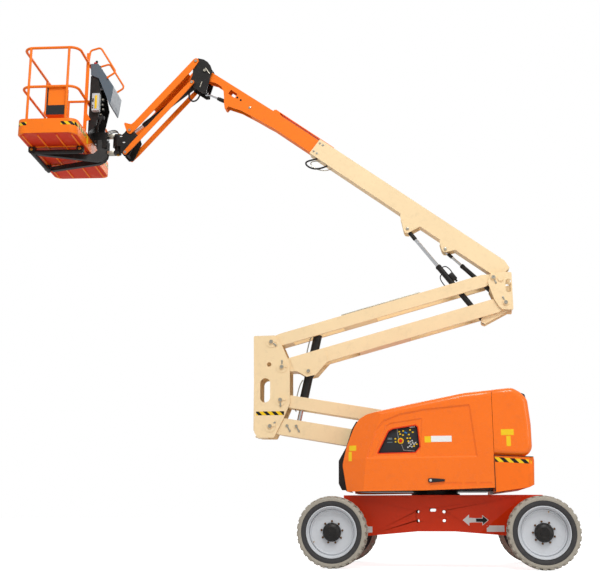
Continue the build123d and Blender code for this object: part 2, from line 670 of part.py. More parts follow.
top += both(plate(CARRIER, *CARRIER_Y, radius=8))
top += both(disc(*upper_link_top, TOWER_PIN_RADIUS, ARM_SLOT_HALF + 2, outer + 4))
top += disc(*upper_arm_top, TOWER_PIN_RADIUS, -outer - 4, outer + 4)
top += disc(*boom_pivot, TOWER_PIN_RADIUS, -outer - 4, outer + 4)
top += both(disc(*boom_pivot, 28, BASE_HALF_WIDTH + 6, inner))
for pin in (upper_link_top, upper_arm_top, boom_pivot):
    top += both(disc(*pin, TOWER_PIN_RADIUS + 14, outer, outer + 5))
    top += both(disc(*pin, TOWER_PIN_RADIUS + 6, outer + 5, outer + 14))
top += disc(*lift_base, 18, -CARRIER_Y[1] - 4, CARRIER_Y[1] + 4)
top += disc(*master_base, 15, 10, CARRIER_Y[1] + 4)
save("upper_upright", top)

# ---- Main boom ----

base_outline = [
    (-BASE_LENGTH, 0),
    (-BASE_LENGTH, BASE_DEPTH),
    (-90, BASE_DEPTH),
    (3, BASE_DEPTH - 36),
    (-6, 100),
    (44, 40),
    (54, 0),
    (40, -38),
    (0, -52),
    (-60, -44),
    (-120, 0),
]
base = plate(base_outline, -BASE_HALF_WIDTH, BASE_HALF_WIDTH)
base -= block(-BASE_LENGTH - 1, -110, -BASE_HALF_WIDTH + BASE_WALL, BASE_HALF_WIDTH - BASE_WALL, BASE_WALL, BASE_DEPTH - BASE_WALL)
base -= block(-110, 70, -BASE_HALF_WIDTH + 12, BASE_HALF_WIDTH - 12, -60, BASE_DEPTH - 60)
lift_lug = [(-1350, 1), (-1330, -34), (-1205, -142), (-1176, -156), (-1146, -140), (-1078, 1)]
master_lug = [(-806, 1), (-790, -30), (-722, -84), (-690, -92), (-664, -76), (-598, 1)]
for lug in (lift_lug, master_lug):
    base += both(plate(lug, BASE_HALF_WIDTH - BASE_WALL, BASE_HALF_WIDTH))
base += both(disc(*LIFT_EYE, 18, BASE_HALF_WIDTH - BASE_WALL, BASE_HALF_WIDTH + 5))
base += disc(*LIFT_EYE, 18, -6, BASE_HALF_WIDTH - BASE_WALL)
base += both(disc(*MASTER_EYE, 15, BASE_HALF_WIDTH - BASE_WALL, BASE_HALF_WIDTH + 5))
base += disc(*MASTER_EYE, 15, -BASE_HALF_WIDTH + BASE_WALL, 16)
base += both(disc(0, 0, 52, BASE_HALF_WIDTH - 12, BASE_HALF_WIDTH + 4))
base -= disc(0, 0, TOWER_PIN_RADIUS + RUN_FIT, -100, 100)
pad = (FLY_HALF_WIDTH - 10)
base += block(-BASE_LENGTH + 4, -BASE_LENGTH + 90, -pad, pad, BASE_WALL, FLY_BOTTOM - SEAT_GAP)
base += block(-BASE_LENGTH + 4, -BASE_LENGTH + 90, -pad, pad, FLY_TOP + SEAT_GAP, BASE_DEPTH - BASE_WALL)
boom_frame = at(boom_pivot, -BOOM_TILT)
save("base_boom", boom_frame * base)

NOSE = BASE_LENGTH + FLY_OUT + SIDE_GAP  # where the fly may grow past the base's mouth
FLY_TAIL = 700.0
FLY_WALL = 7.0
nose_outline = [
    (-NOSE, FLY_BOTTOM),
    (-NOSE, FLY_TOP),
    (-NOSE - 140, 212),
    (-3343, 212),
    (-3350, 186),
    (-4274, 166),
    (FLY_NOSE[0] - 40, FLY_NOSE[1] + 24),
    (FLY_NOSE[0] - 46, FLY_NOSE[1] - 10),
    (FLY_NOSE[0] - 20, FLY_NOSE[1] - 44),
    (FLY_NOSE[0] + 60, FLY_NOSE[1] - 64),
    (-4253, 54),
    (-4205, 68),
    (-4154, 84),
    (-4078, 84),
    (-4012, 46),
    (-3956, -16),
    (-3916, -69),
    (-3868, -116),
    (-3850, -113),
    (-3846, -72),
    (-3683, -28),
    (-3444, -5),
    (-3300, 4),
]
FLY_WINDOW = [(-3951, 58), (-3846, 58), (-3850, 117), (-3951, 117)]
fly = block(-NOSE - 4, -FLY_TAIL, -FLY_HALF_WIDTH, FLY_HALF_WIDTH, FLY_BOTTOM, FLY_TOP)
fly += plate(nose_outline, -FLY_HALF_WIDTH, FLY_HALF_WIDTH)
fly -= block(-3560, -FLY_TAIL + 1, -FLY_HALF_WIDTH + FLY_WALL, FLY_HALF_WIDTH - FLY_WALL, FLY_BOTTOM + FLY_WALL, FLY_TOP - FLY_WALL)
fly -= block(-4280, -3540, -FLY_HALF_WIDTH + FLY_WALL, FLY_HALF_WIDTH - FLY_WALL, -100, 150)
fly -= block(-4500, -4270, -FLY_HALF_WIDTH + FLY_WALL, FLY_HALF_WIDTH - FLY_WALL, -100, 105)
fly -= plate(FLY_WINDOW, -FLY_HALF_WIDTH - 1, FLY_HALF_WIDTH + 1, radius=6)
fly += disc(*FLY_NOSE, 36, -82, 82)
fly -= disc(*FLY_NOSE, 18 + RUN_FIT, -90, 90)
fly += disc(*SLAVE_BASE, 14, -FLY_HALF_WIDTH - 3, FLY_HALF_WIDTH + 3)
fly += block(-FLY_TAIL - 80, -FLY_TAIL, -pad, pad, FLY_TOP, BASE_DEPTH - BASE_WALL - SEAT_GAP)
fly += block(-FLY_TAIL - 80, -FLY_TAIL, -pad, pad, BASE_WALL + SEAT_GAP, FLY_BOTTOM)
track_top = BASE_DEPTH + SIDE_GAP
strip_start = -3336.0
fly += block(strip_start, -BASE_LENGTH + 190, -50, 50, track_top, track_top + 7)
fly += block(strip_start, -NOSE - 60, -50, 50, 200, track_top + 1)
save("fly_boom", boom_frame * fly)

# ---- Head and jib ----

HEAD = [
    (-2752, 5940),
    (-2700, 5947),
    (-2637, 5929),
    (-2585, 5892),
    (-2546, 5835),
    (-2522, 5762),
    (-2543, 5716),
    (-2556, 5640),
    (-2588, 5540),
    (-2590, 5482),
    (-2640, 5484),
    (-2700, 5528),
    (-2796, 5596),
    (-2802, 5640),
    (-2769, 5742),
    (-2764, 5890),
]
HEAD_GUARD = [(-2700, 5947), (-2637, 5929), (-2585, 5892), (-2592, 5882), (-2641, 5919), (-2700, 5936)]  # over the hoses
head = plate(HEAD, HEAD_HALF_WIDTH - 12, HEAD_HALF_WIDTH, radius=10)
head = both(head)
head += disc(*head_pivot, 18, -HEAD_HALF_WIDTH - 8, HEAD_HALF_WIDTH + 8)
head += both(disc(*jib_head, 15, HEAD_HALF_WIDTH - 12, JIB_HALF_WIDTH + 6))
head += disc(*links_head, LINK_PIN, -LINK_HALF_WIDTH - 4, LINK_HALF_WIDTH + 4)
head += both(disc(*slave_eye, 16, 26, HEAD_HALF_WIDTH - 12) + disc(*slave_eye, 14, HEAD_HALF_WIDTH - 12, HEAD_HALF_WIDTH + 5))
head += plate(HEAD_GUARD, -HEAD_HALF_WIDTH + 12, HEAD_HALF_WIDTH - 12)
save("boom_head", head)

JIB_WALL = 8.0
jib_low, jib_high = -48.0, 36.0
jib_outline = [
    (-34, -26),
    (-20, -40),
    (60, jib_low),
    (JIB_LENGTH - 80, jib_low),
    (JIB_LENGTH + 24, -30),
    (JIB_LENGTH + 38, 0),
    (JIB_LENGTH + 28, 24),
    (JIB_LENGTH + 4, jib_high),
    (110, jib_high),
    (70, 44),
    (52, 76),
    (34, 118),
    (16, 120),
    (-10, 70),
    (-30, 30),
    (-38, 0),
]
jib = both(plate(jib_outline, JIB_HALF_WIDTH - JIB_WALL, JIB_HALF_WIDTH, radius=6))
jib += block(400, JIB_LENGTH - 150, -JIB_HALF_WIDTH, JIB_HALF_WIDTH, jib_high - JIB_WALL, jib_high)
for x in (0, JIB_LENGTH):
    jib -= disc(x, 0, 15 + RUN_FIT, -JIB_HALF_WIDTH - 1, JIB_HALF_WIDTH + 1)
jib_frame = at(jib_end, JIB_TILT)
save("jib_boom", jib_frame * jib)

link_side = rounded_bar(JIB_LENGTH, -31, 31, 30, 30, LINK_HALF_WIDTH - 14, LINK_HALF_WIDTH)
for x in (0, JIB_LENGTH):
    link_side -= disc(x, 0, LINK_PIN + RUN_FIT, 0, LINK_HALF_WIDTH + 1)
links_frame = at(links_end, JIB_TILT)
save("jib_link_right", links_frame * link_side)
save("jib_link_left", links_frame * mirror(link_side, about=Plane.XZ))

ROTATOR_X = -3700.0
ROTATOR_Z = (4826.0, 5008.0)
ROTATOR_RADIUS = 67.0
ROTATOR_NECK = (44.0, 4882.0)  # radius, and up to where
BRACKET = [
    (-3690, 4990),
    (-3644, 4994),
    (-3600, 5030),
    (-3560, 5088),
    (-3520, 5092),
    (-3488, 5060),
    (-3455, 5003),
    (-3436, 4950),
    (-3530, 4736),
    (-3590, 4728),
    (-3640, 4786),
    (-3640, 4860),
    (-3690, 4866),
]
bracket = both(plate(BRACKET, HEAD_HALF_WIDTH - 12, HEAD_HALF_WIDTH, radius=8))
bracket += block(-3690, -3632, -HEAD_HALF_WIDTH + 12, HEAD_HALF_WIDTH - 12, 4880, 4990)
bracket += Pos(ROTATOR_X, 0, (ROTATOR_NECK[1] + ROTATOR_Z[1]) / 2) * Cylinder(ROTATOR_RADIUS, ROTATOR_Z[1] - ROTATOR_NECK[1])
bracket += Pos(ROTATOR_X, 0, (ROTATOR_Z[0] + ROTATOR_NECK[1]) / 2) * Cylinder(ROTATOR_NECK[0], ROTATOR_NECK[1] - ROTATOR_Z[0])
bracket += both(disc(*jib_end, 22, 28, HEAD_HALF_WIDTH - 12) + disc(*jib_end, 15, HEAD_HALF_WIDTH - 12, JIB_HALF_WIDTH + 6))
bracket += disc(*links_end, LINK_PIN, -LINK_HALF_WIDTH - 4, LINK_HALF_WIDTH + 4)
save("jib_bracket", bracket)

# ---- Platform ----

FLOOR_Z = 4796.0
CENTRE = (-670.0, 52.0)  # platform centre from the rotator's axis
X0, X1 = CENTRE[0] - PLATFORM_WIDTH / 2, CENTRE[0] + PLATFORM_WIDTH / 2
Y0, Y1 = CENTRE[1] - PLATFORM_LENGTH / 2, CENTRE[1] + PLATFORM_LENGTH / 2
platform_frame = Location((ROTATOR_X, 0, 0), (0, 0, PLATFORM_YAW))
POST_X = (-262.0, -132.0)
FORK_Z = 4722.0
FORK_RADIUS = 26.0
RIB = 14.0

ROTATOR_ARM = 36.0  # thickness
SPLAY = degrees(atan2(270, POST_X[0] + 65 - X0 - 60))
FORK_PLATE = 26.0
FORK = [  # one fork arm's side view, from the post's middle
    (66, 4960),
    (66, 4800),
    (52, 4748),
    (14, 4706),
    (-50, 4684),
    (X0 + 60 - POST_X[0] - 65, FORK_Z - 26),
    (X0 + 60 - POST_X[0] - 65, FORK_Z + 26),
    (-190, 4756),
    (-110, 4776),
    (-66, 4822),
    (-66, 4960),
]
support = block(*POST_X, -58, 58, 4860, 5062)
support += block(POST_X[1] - 20, 0, -40, 40, ROTATOR_Z[1] + SEAT_GAP, ROTATOR_Z[1] + ROTATOR_ARM)
support += block(POST_X[1] - 20, 0, -40, 40, ROTATOR_Z[0] - ROTATOR_ARM, ROTATOR_Z[0] - SEAT_GAP)
for z0, z1 in ((ROTATOR_Z[1] + SEAT_GAP, ROTATOR_Z[1] + ROTATOR_ARM), (ROTATOR_Z[0] - ROTATOR_ARM, ROTATOR_Z[0] - SEAT_GAP)):
    support += Pos(0, 0, (z0 + z1) / 2) * Cylinder(40, z1 - z0)
for side in (-1, 1):
    arm = plate(FORK, side * 30 - FORK_PLATE, side * 30 + FORK_PLATE, radius=12)
    support += Pos(POST_X[0] + 65, 0, 0) * Rot(0, 0, -side * SPLAY) * arm
support += bar((X0 + 60, -330, FORK_Z), (X0 + 60, 330, FORK_Z), FORK_RADIUS)
support += bar((X0 + 90, -300, FORK_Z), (X1 - 30, -300, FORK_Z), FORK_RADIUS)
for x, y in ((X0 + 60, -300), (X0 + 60, 300), (X1 - 60, -300), (X1 - 60, 126)):
    support += block(x - 40, x + 40, y - 30, y + 30, FORK_Z, FLOOR_Z - RIB)
save("platform_support", platform_frame * support)

outer_floor = Pos(CENTRE[0], CENTRE[1], FLOOR_Z + TOE_HEIGHT / 2) * Box(PLATFORM_WIDTH, PLATFORM_LENGTH, TOE_HEIGHT)
outer_floor = fillet(outer_floor.edges().filter_by(Axis.Z), 95)
inner_floor = Pos(CENTRE[0], CENTRE[1], FLOOR_Z + TOE_HEIGHT / 2 + 6) * Box(PLATFORM_WIDTH - 10, PLATFORM_LENGTH - 10, TOE_HEIGHT)
inner_floor = fillet(inner_floor.edges().filter_by(Axis.Z), 90)
floor = outer_floor - inner_floor
for x in (X0 + 60, X0 + 240, X1 - 240, X1 - 60):
    floor += block(x - 8, x + 8, Y0 + 60, Y1 - 60, FLOOR_Z - RIB, FLOOR_Z)
for y in (-300, 300):
    floor += block(X0 + 40, X1 - 40, y - 8, y + 8, FLOOR_Z - RIB, FLOOR_Z)
save("platform_floor", platform_frame * floor)

RAIL_Z = FLOOR_Z + RAIL_HEIGHT - RAIL_RADIUS
MID_Z = FLOOR_Z + 582.0
TOE_Z = FLOOR_Z + TOE_HEIGHT
rail_x = (X0 + RAIL_INSET, X1 - RAIL_INSET)
rail_y = (Y0 + RAIL_INSET, Y1 - RAIL_INSET)
ENTRY_Y = (CENTRE[1] + 120.0, CENTRE[1] + 620.0)


def rail_loop(z, corner):
    path = Wire.make_polygon([(rail_x[0], rail_y[0]), (rail_x[1], rail_y[0]), (rail_x[1], rail_y[1]), (rail_x[0], rail_y[1])])
    path = Pos(0, 0, z) * path.fillet_2d(corner, path.vertices())
    start = path.edges()[0]
    section = Plane(origin=start @ 0.5, z_dir=start % 0.5) * Circle(RAIL_RADIUS)
    return sweep(section, path=path)


rails = rail_loop(RAIL_Z, 110) + rail_loop(MID_Z, 110)
gap = block(X0 - 20, X0 + 60, ENTRY_Y[0], ENTRY_Y[1], MID_Z - 30, MID_Z + 30)
rails -= gap
posts = [
    (X0 + 110, rail_y[0]),
    (X1 - 136, rail_y[0]),
    (X0 + 110, rail_y[1]),
    (X1 - 136, rail_y[1]),
    (rail_x[0], ENTRY_Y[0]),
    (rail_x[0], ENTRY_Y[1]),
    (rail_x[1], CENTRE[1] + 420),
]
for x, y in posts:
    rails += bar((x, y, FLOOR_Z + 6), (x, y, RAIL_Z), RAIL_RADIUS - 1)
CONSOLE_Y = (-270.0, 130.0)
HOOP_GAP = 18.0  # hoop centres from the console's ends
HOOP_RADIUS = 12.0
near_hoop = CONSOLE_Y[0] - HOOP_GAP
for y in (near_hoop, CONSOLE_Y[1] + HOOP_GAP):
    hoop = [
        (rail_x[1], y, RAIL_Z),
        (rail_x[1] + 19, y, RAIL_Z + 163),
        (-200, y, RAIL_Z + 200),
        (2, y, RAIL_Z - 128),
        (-100, y, RAIL_Z - 196),
    ]
    rails += bent_tube(hoop, HOOP_RADIUS, [40, 45, 40])
    inward = 1 if y < 0 else -1
    rails += bar((-100, y, RAIL_Z - 196), (-100, y + inward * HOOP_GAP, RAIL_Z - 196), 10)
rails += block(rail_x[1] - 24, rail_x[1] + 15, near_hoop - 6, near_hoop + 6, FLOOR_Z + 6, RAIL_Z + 130)
rails += plate([(rail_x[1], 5240), (rail_x[1], 5110), (rail_x[1] + 62, 5130)], near_hoop - 5, near_hoop + 5)
save("platform_rails", platform_frame * rails)

SLEEVE = 56.0
entry_z = MID_Z + RAIL_RADIUS + SEAT_GAP + SLEEVE / 2
entry = bar((rail_x[0], ENTRY_Y[0] + 20, entry_z), (rail_x[0], ENTRY_Y[1] - 20, entry_z), RAIL_RADIUS - 3)
for y in ENTRY_Y:
    entry += Pos(rail_x[0], y, entry_z) * Cylinder(RAIL_RADIUS + 8, SLEEVE)
for y in ENTRY_Y:
    entry -= Pos(rail_x[0], y, entry_z) * Cylinder(RAIL_RADIUS - 1 + RUN_FIT, SLEEVE + 4)
save("entry_bar", platform_frame * entry)

console_profile = [(-318, 5867), (-226, 5867), (-24, 5563), (-46, 5390), (-60, 5304), (-101, 5418), (-210, 5676), (-310, 5721)]
console = plate(console_profile, *CONSOLE_Y, radius=8)
save("console", platform_frame * console)

STAND_X = -316.0
stand = block(STAND_X, STAND_X + 12, CONSOLE_Y[0] + 20, CONSOLE_Y[1] - 20, 4950, 5715)
for y in (CONSOLE_Y[0] + 20, CONSOLE_Y[1] - 32):
    stand += plate([(STAND_X, 4990), (-220, 5070), (-160, 5400), (-224, 5690), (STAND_X, 5700)], y, y + 12)
stand += block(STAND_X + 12, POST_X[0], -58, 58, 4960, 5056)
stand -= plate(console_profile, CONSOLE_Y[0] - 1, CONSOLE_Y[1] + 1)
save("console_stand", platform_frame * stand)

box_y = CONSOLE_Y[0] + 20
save("socket_box", platform_frame * block(-268, -180, box_y - 62, box_y, 5241, 5459))

storage_y = rail_y[0] + RAIL_RADIUS + SEAT_GAP
storage = block(-694, -474, storage_y, storage_y + 110, 5030, MID_Z + 4)
save("storage_box", platform_frame * storage)

# ---- Cylinders ----


def cylinder_pair(name, base, eye, y, barrel_radius, rod_radius, tail, gland, rod_start, eyes, pins, trunnion=0.0):
    """A barrel from its tail to the gland, and a rod from inside it to its eye. Lengths are from the base pin."""
    length = hypot(eye[0] - base[0], eye[1] - base[1])
    tilt = degrees(atan2(eye[1] - base[1], eye[0] - base[0]))
    frame = Location((base[0], y, base[1]), (0, -tilt, 0))

    def along(x0, x1, radius):
        return Pos((x0 + x1) / 2, 0, 0) * Rot(0, 90, 0) * Cylinder(radius, x1 - x0)

    barrel = along(tail, gland - 24, barrel_radius) + along(gland - 24, gland, barrel_radius - 3)
    if trunnion:
        barrel += both(disc(0, 0, pins[0], 0, trunnion))
        barrel += along(-34, 34, barrel_radius + 8)
    else:
        barrel += disc(0, 0, eyes[0], -eyes[0] * 0.8, eyes[0] * 0.8)
    barrel -= along(tail + 20, gland - 30, rod_radius + 3) + along(gland - 31, gland + 1, rod_radius + RUN_FIT)
    if not trunnion:
        barrel -= disc(0, 0, pins[0] + RUN_FIT, -100, 100)
    rod = along(rod_start, length - eyes[1] * 0.5, rod_radius)
    rod += disc(length, 0, eyes[1], -eyes[1] * 0.8, eyes[1] * 0.8)
    rod -= disc(length, 0, pins[1] + RUN_FIT, -100, 100)
    save(f"{name}_barrel", frame * barrel)
    save(f"{name}_rod", frame * rod)


cylinder_pair("tower_cylinder", tower_trunnion, tower_rod, 0, 48, 25, -430, 385, -230, (0, 33), (20, 18), trunnion=ARM_HALF_WIDTH + 10)
cylinder_pair("lift_cylinder", lift_base, lift_eye, -33, 31, 20, 30, 807, 420, (32, 32), (18, 18))
cylinder_pair("master_cylinder", master_base, master_eye, 38, 25, 15, 20, 456, 220, (26, 22), (15, 13))
cylinder_pair("slave_cylinder", slave_base, slave_eye, 0, 24, 12, 20, 452, 200, (24, 22), (14, 14))
cylinder_pair("jib_cylinder", links_head, jib_end, 0, 30, 17, 24, 790, 180, (28, 26), (LINK_PIN, 15))
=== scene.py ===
"""The finishes and fittings of an articulating boom lift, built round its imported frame.

Metres. +Z is up, +X points to the counterweight, the booms reach towards -X, and the near side is -Y.
An outline is a list of (x, z) points, and a profile is a list of (radius, height) points.
"""

import json
import math

import bmesh
import bpy
from mathutils import Matrix, Vector
from mathutils.bvhtree import BVHTree


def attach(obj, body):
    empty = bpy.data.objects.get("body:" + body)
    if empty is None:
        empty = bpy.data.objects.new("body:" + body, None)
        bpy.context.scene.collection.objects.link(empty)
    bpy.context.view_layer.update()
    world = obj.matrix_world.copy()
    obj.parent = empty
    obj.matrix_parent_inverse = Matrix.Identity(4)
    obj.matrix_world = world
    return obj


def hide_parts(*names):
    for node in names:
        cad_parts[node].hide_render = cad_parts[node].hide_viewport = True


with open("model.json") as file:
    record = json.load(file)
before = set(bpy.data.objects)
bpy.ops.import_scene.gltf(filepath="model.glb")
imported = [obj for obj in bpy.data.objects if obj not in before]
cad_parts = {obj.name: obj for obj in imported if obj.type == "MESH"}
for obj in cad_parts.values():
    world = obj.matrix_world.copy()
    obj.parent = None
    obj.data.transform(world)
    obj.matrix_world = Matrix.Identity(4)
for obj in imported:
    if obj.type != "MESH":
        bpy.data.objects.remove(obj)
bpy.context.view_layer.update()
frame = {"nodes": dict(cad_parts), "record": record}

# ---- Camera, light and floor ----

LOOKS_UP = 13.16  # degrees above level
TURNED_LEFT = 8.31  # degrees from straight at the near side

camera = bpy.data.objects.new("camera", bpy.data.cameras.new("camera"))
bpy.context.scene.collection.objects.link(camera)
bpy.context.scene.camera = camera
camera.data.sensor_width = 36
camera.data.sensor_fit = "HORIZONTAL"
camera.data.lens = 57.02
camera.data.clip_end = 400
camera.location = (0.0655, -10.456, 0.513)
camera.rotation_euler = (math.radians(90 + LOOKS_UP), 0, math.radians(TURNED_LEFT))

bpy.context.scene.view_settings.view_transform = "Standard"


def linear(code):
    """The renderer's linear numbers for an sRGB hex colour."""
    parts = [int(code[i : i + 2], 16) / 255 for i in (1, 3, 5)]
    return tuple(c / 12.92 if c <= 0.04045 else ((c + 0.055) / 1.055) ** 2.4 for c in parts) + (1.0,)


def add(tree, kind, inputs=None, **settings):
    """Adds a node, sets its properties, and fills its inputs with values or with other nodes' outputs."""
    made = tree.nodes.new(kind)
    for name, value in settings.items():
        setattr(made, name, value)
    for key, value in (inputs or {}).items():
        if isinstance(value, bpy.types.NodeSocket):
            tree.links.new(value, made.inputs[key])
        else:
            made.inputs[key].default_value = value
    return made


def soft_lamp(name, place, aim, size, watts):
    lamp = bpy.data.objects.new(name, bpy.data.lights.new(name, "AREA"))
    lamp.data.shape = "RECTANGLE"
    lamp.data.size, lamp.data.size_y = size
    lamp.data.energy = watts
    lamp.location = place
    lamp.rotation_euler = (Vector(aim) - Vector(place)).to_track_quat("-Z", "Y").to_euler()
    bpy.context.scene.collection.objects.link(lamp)


def studio_walls():
    """Walls that are white to the eye and light the machine at a lower level than they show."""
    studio = bpy.data.worlds.new("studio")
    bpy.context.scene.world = studio
    studio.use_nodes = True
    tree = studio.node_tree
    tree.nodes.clear()
    ray = add(tree, "ShaderNodeLightPath")
    direct, through = ray.outputs["Is Camera Ray"], ray.outputs["Is Transmission Ray"]
    seen = add(tree, "ShaderNodeMath", {0: direct, 1: through}, operation="MAXIMUM")
    walls = add(tree, "ShaderNodeBackground", {"Color": linear("#FFFFFF"), "Strength": 0.61})
    white = add(tree, "ShaderNodeBackground", {"Color": linear("#FFFFFF"), "Strength": 1.0})
    shown = {0: seen.outputs[0], 1: walls.outputs[0], 2: white.outputs[0]}
    chosen = add(tree, "ShaderNodeMixShader", shown)
    add(tree, "ShaderNodeOutputWorld", {"Surface": chosen.outputs[0]})


def painted_floor():
    """Matt white studio floor, glowing a little to the eye so that it meets the white wall."""
    made = bpy.data.materials.new("painted_studio_floor")
    made.use_nodes = True
    tree = made.node_tree
    tree.nodes.clear()
    ray = add(tree, "ShaderNodeLightPath")
    matt = add(tree, "ShaderNodeBsdfDiffuse", {"Color": linear("#DCDCDC")})
    glow = add(tree, "ShaderNodeEmission", {"Color": linear("#FFFFFF"), "Strength": 0.80})
    both = add(tree, "ShaderNodeAddShader", {0: matt.outputs[0], 1: glow.outputs[0]})
    shown = {0: ray.outputs["Is Camera Ray"], 1: matt.outputs[0], 2: both.outputs[0]}
    mixed = add(tree, "ShaderNodeMixShader", shown)
    add(tree, "ShaderNodeOutputMaterial", {"Surface": mixed.outputs[0]})
    return made


soft_lamp("key_softbox", (1.5, -10.0, 15.0), (-0.8, 0, 2.6), (7, 6), 1360)
soft_lamp("side_softbox", (9.0, -7.5, 5.0), (0, 0, 2.0), (4, 6), 190)
soft_lamp("back_softbox", (-1.0, 9.0, 10.0), (-0.5, 0, 2.5), (8, 4), 330)
studio_walls()

FLOOR_HALF = 120
FLOOR_CORNERS = [(x * FLOOR_HALF, y * FLOOR_HALF, 0) for x, y in ((-1, -1), (1, -1), (1, 1), (-1, 1))]
floor_mesh = bpy.data.meshes.new("floor")
floor_mesh.from_pydata(FLOOR_CORNERS, [], [(0, 1, 2, 3)])
floor = bpy.data.objects.new("floor", floor_mesh)
bpy.context.scene.collection.objects.link(floor)
floor_mesh.materials.append(painted_floor())

# ---- Finishes ----

DUST_SCALE = 14.0
WORN_SCALE = 5.0


def coating(name, colour, roughness, peel, grime="#4A443C", grime_share=0.12, coat=0.0, metallic=0.0):
    """A sprayed or baked coat: its colour drifts, handling breaks its gloss, and dust sits in it.

    peel is the height of its orange peel in millimetres. Real peel is 2 mm across, and it is drawn at
    9 mm so that it shows.
    """
    made = bpy.data.materials.new(name)
    made.use_nodes = True
    tree = made.node_tree
    tree.nodes.clear()
    place = add(tree, "ShaderNodeTexCoord").outputs["Object"]
    drift = add(tree, "ShaderNodeTexNoise", {"Vector": place, "Scale": 1.7, "Detail": 3.0}).outputs["Fac"]
    light = tuple(min(1.0, c * 1.07) for c in linear(colour)[:3]) + (1.0,)
    dark = tuple(c * 0.92 for c in linear(colour)[:3]) + (1.0,)
    tone = add(tree, "ShaderNodeMix", {"Factor": drift, 6: dark, 7: light}, data_type="RGBA").outputs[2]
    specks = {"Vector": place, "Scale": DUST_SCALE, "Detail": 7.0, "Roughness": 0.7}
    dust = add(tree, "ShaderNodeTexNoise", specks).outputs["Fac"]
    settled = {"Value": dust, "From Min": 0.52, "From Max": 0.78, "To Min": 0.0, "To Max": grime_share}
    where = add(tree, "ShaderNodeMapRange", settled).outputs[0]
    dusty = add(tree, "ShaderNodeMix", {"Factor": where, 6: tone, 7: linear(grime)}, data_type="RGBA")
    handled = {"Value": dust, "To Min": roughness * 0.82, "To Max": min(1.0, roughness * 1.25)}
    rub = add(tree, "ShaderNodeMapRange", handled)
    grain = add(tree, "ShaderNodeTexNoise", {"Vector": place, "Scale": 110.0, "Detail": 2.0}).outputs["Fac"]
    bump = add(tree, "ShaderNodeBump", {"Height": grain, "Strength": 0.35, "Distance": peel / 1000})
    surface = {
        "Base Color": dusty.outputs[2],
        "Roughness": rub.outputs[0],
        "Metallic": metallic,
        "IOR": 1.5,
        "Specular IOR Level": 0.5 if metallic else 0.28,
        "Coat Weight": coat,
        "Coat Roughness": 0.08,
        "Normal": bump.outputs[0],
    }
    skin = add(tree, "ShaderNodeBsdfPrincipled", surface)
    add(tree, "ShaderNodeOutputMaterial", {"Surface": skin.outputs[0]})
    return made


def striped(name, first, second, pitch, across):
    """Screen-printed vinyl in slanted stripes. pitch is the width of a pair of stripes in metres."""
    made = coating(name, first, 0.38, 0.05, grime_share=0.06)
    tree = made.node_tree
    skin = next(n for n in tree.nodes if n.type == "BSDF_PRINCIPLED")
    place = add(tree, "ShaderNodeTexCoord")
    axes = add(tree, "ShaderNodeSeparateXYZ", {"Vector": place.outputs["Object"]})
    slant = add(tree, "ShaderNodeMath", {0: axes.outputs[across], 1: axes.outputs["Z"]}, operation="ADD")
    turns = add(tree, "ShaderNodeMath", {0: slant.outputs[0], 1: pitch}, operation="DIVIDE")
    part = add(tree, "ShaderNodeMath", {0: turns.outputs[0]}, operation="FRACT")
    side = add(tree, "ShaderNodeMath", {0: part.outputs[0], 1: 0.5}, operation="GREATER_THAN").outputs[0]
    source = skin.inputs["Base Color"].links[0].from_socket
    mixed = add(tree, "ShaderNodeMix", {"Factor": side, 6: source, 7: linear(second)}, data_type="RGBA")
    tree.links.new(mixed.outputs[2], skin.inputs["Base Color"])
    return made


# Baked powder coat on welded steel: satin, with a soft broken highlight.
orange_powder = coating("orange_powder_coat", "#FF7A10", 0.42, 0.12)
cream_powder = coating("cream_powder_coat", "#F4D9AC", 0.42, 0.12)
black_powder = coating("black_powder_coat", "#201E1D", 0.38, 0.10, grime="#6A6259", grime_share=0.20)
# Chassis enamel, sprayed thick: deeper red, a little glossier.
red_enamel = coating("red_orange_enamel", "#EC3A04", 0.34, 0.14)
# Enamel under the deck: painted redder than the deck's orange as painted shade under the floor, and rubbed
# pale in patches where it has been set down.
underside_shade_and_wear = coating("underside_painted_shade_and_wear", "#D63005", 0.55, 0.20, grime="#E08060", grime_share=0.5)
# Gel-coated moulded covers: smooth and glossy under a clear coat. The window's return is painted redder and
# darker than the cover, as painted shade inside the window's edge.
orange_gelcoat = coating("orange_gelcoat", "#FF7410", 0.26, 0.05, coat=0.35)
window_shade_gelcoat = coating("window_painted_shade_gelcoat", "#E0380A", 0.30, 0.05)
# Painted cast iron: the sand-cast skin shows as a coarser peel.
cast_orange = coating("painted_cast_iron", "#FF7210", 0.40, 0.30)
wheel_enamel = coating("wheel_enamel", "#C9CCD0", 0.36, 0.08, grime_share=0.08)
# Pale non-marking tread rubber, dusty from the floor, on a darker sidewall.
pale_rubber = coating("pale_tread_rubber", "#A69F92", 0.85, 0.8, grime="#6E675B", grime_share=0.55)
dark_rubber = coating("dark_sidewall_rubber", "#3B3A3B", 0.62, 0.3, grime="#77736B", grime_share=0.22)
hose_rubber = coating("hose_rubber", "#1B1A1A", 0.50, 0.2, grime="#55504A", grime_share=0.2)
black_gasket = coating("black_gasket_rubber", "#141312", 0.60, 0.2, grime_share=0.1)
# Hard-chromed ground bar: almost a mirror.
chromed_bar = coating("chromed_bar", "#D8DADD", 0.14, 0.02, grime_share=0.02, metallic=1.0)
# Small metal fittings: zinc plate, turned brass, phosphated nuts gone brown.
zinc_plate = coating("zinc_plate", "#B9B4A6", 0.38, 0.05, grime_share=0.15, metallic=1.0)
brass_valve = coating("brass", "#B98A3A", 0.35, 0.05, grime_share=0.15, metallic=1.0)
rusted_nut = coating("phosphated_nut", "#6B4A2A", 0.55, 0.1, grime="#2A1E14", grime_share=0.5, metallic=0.4)
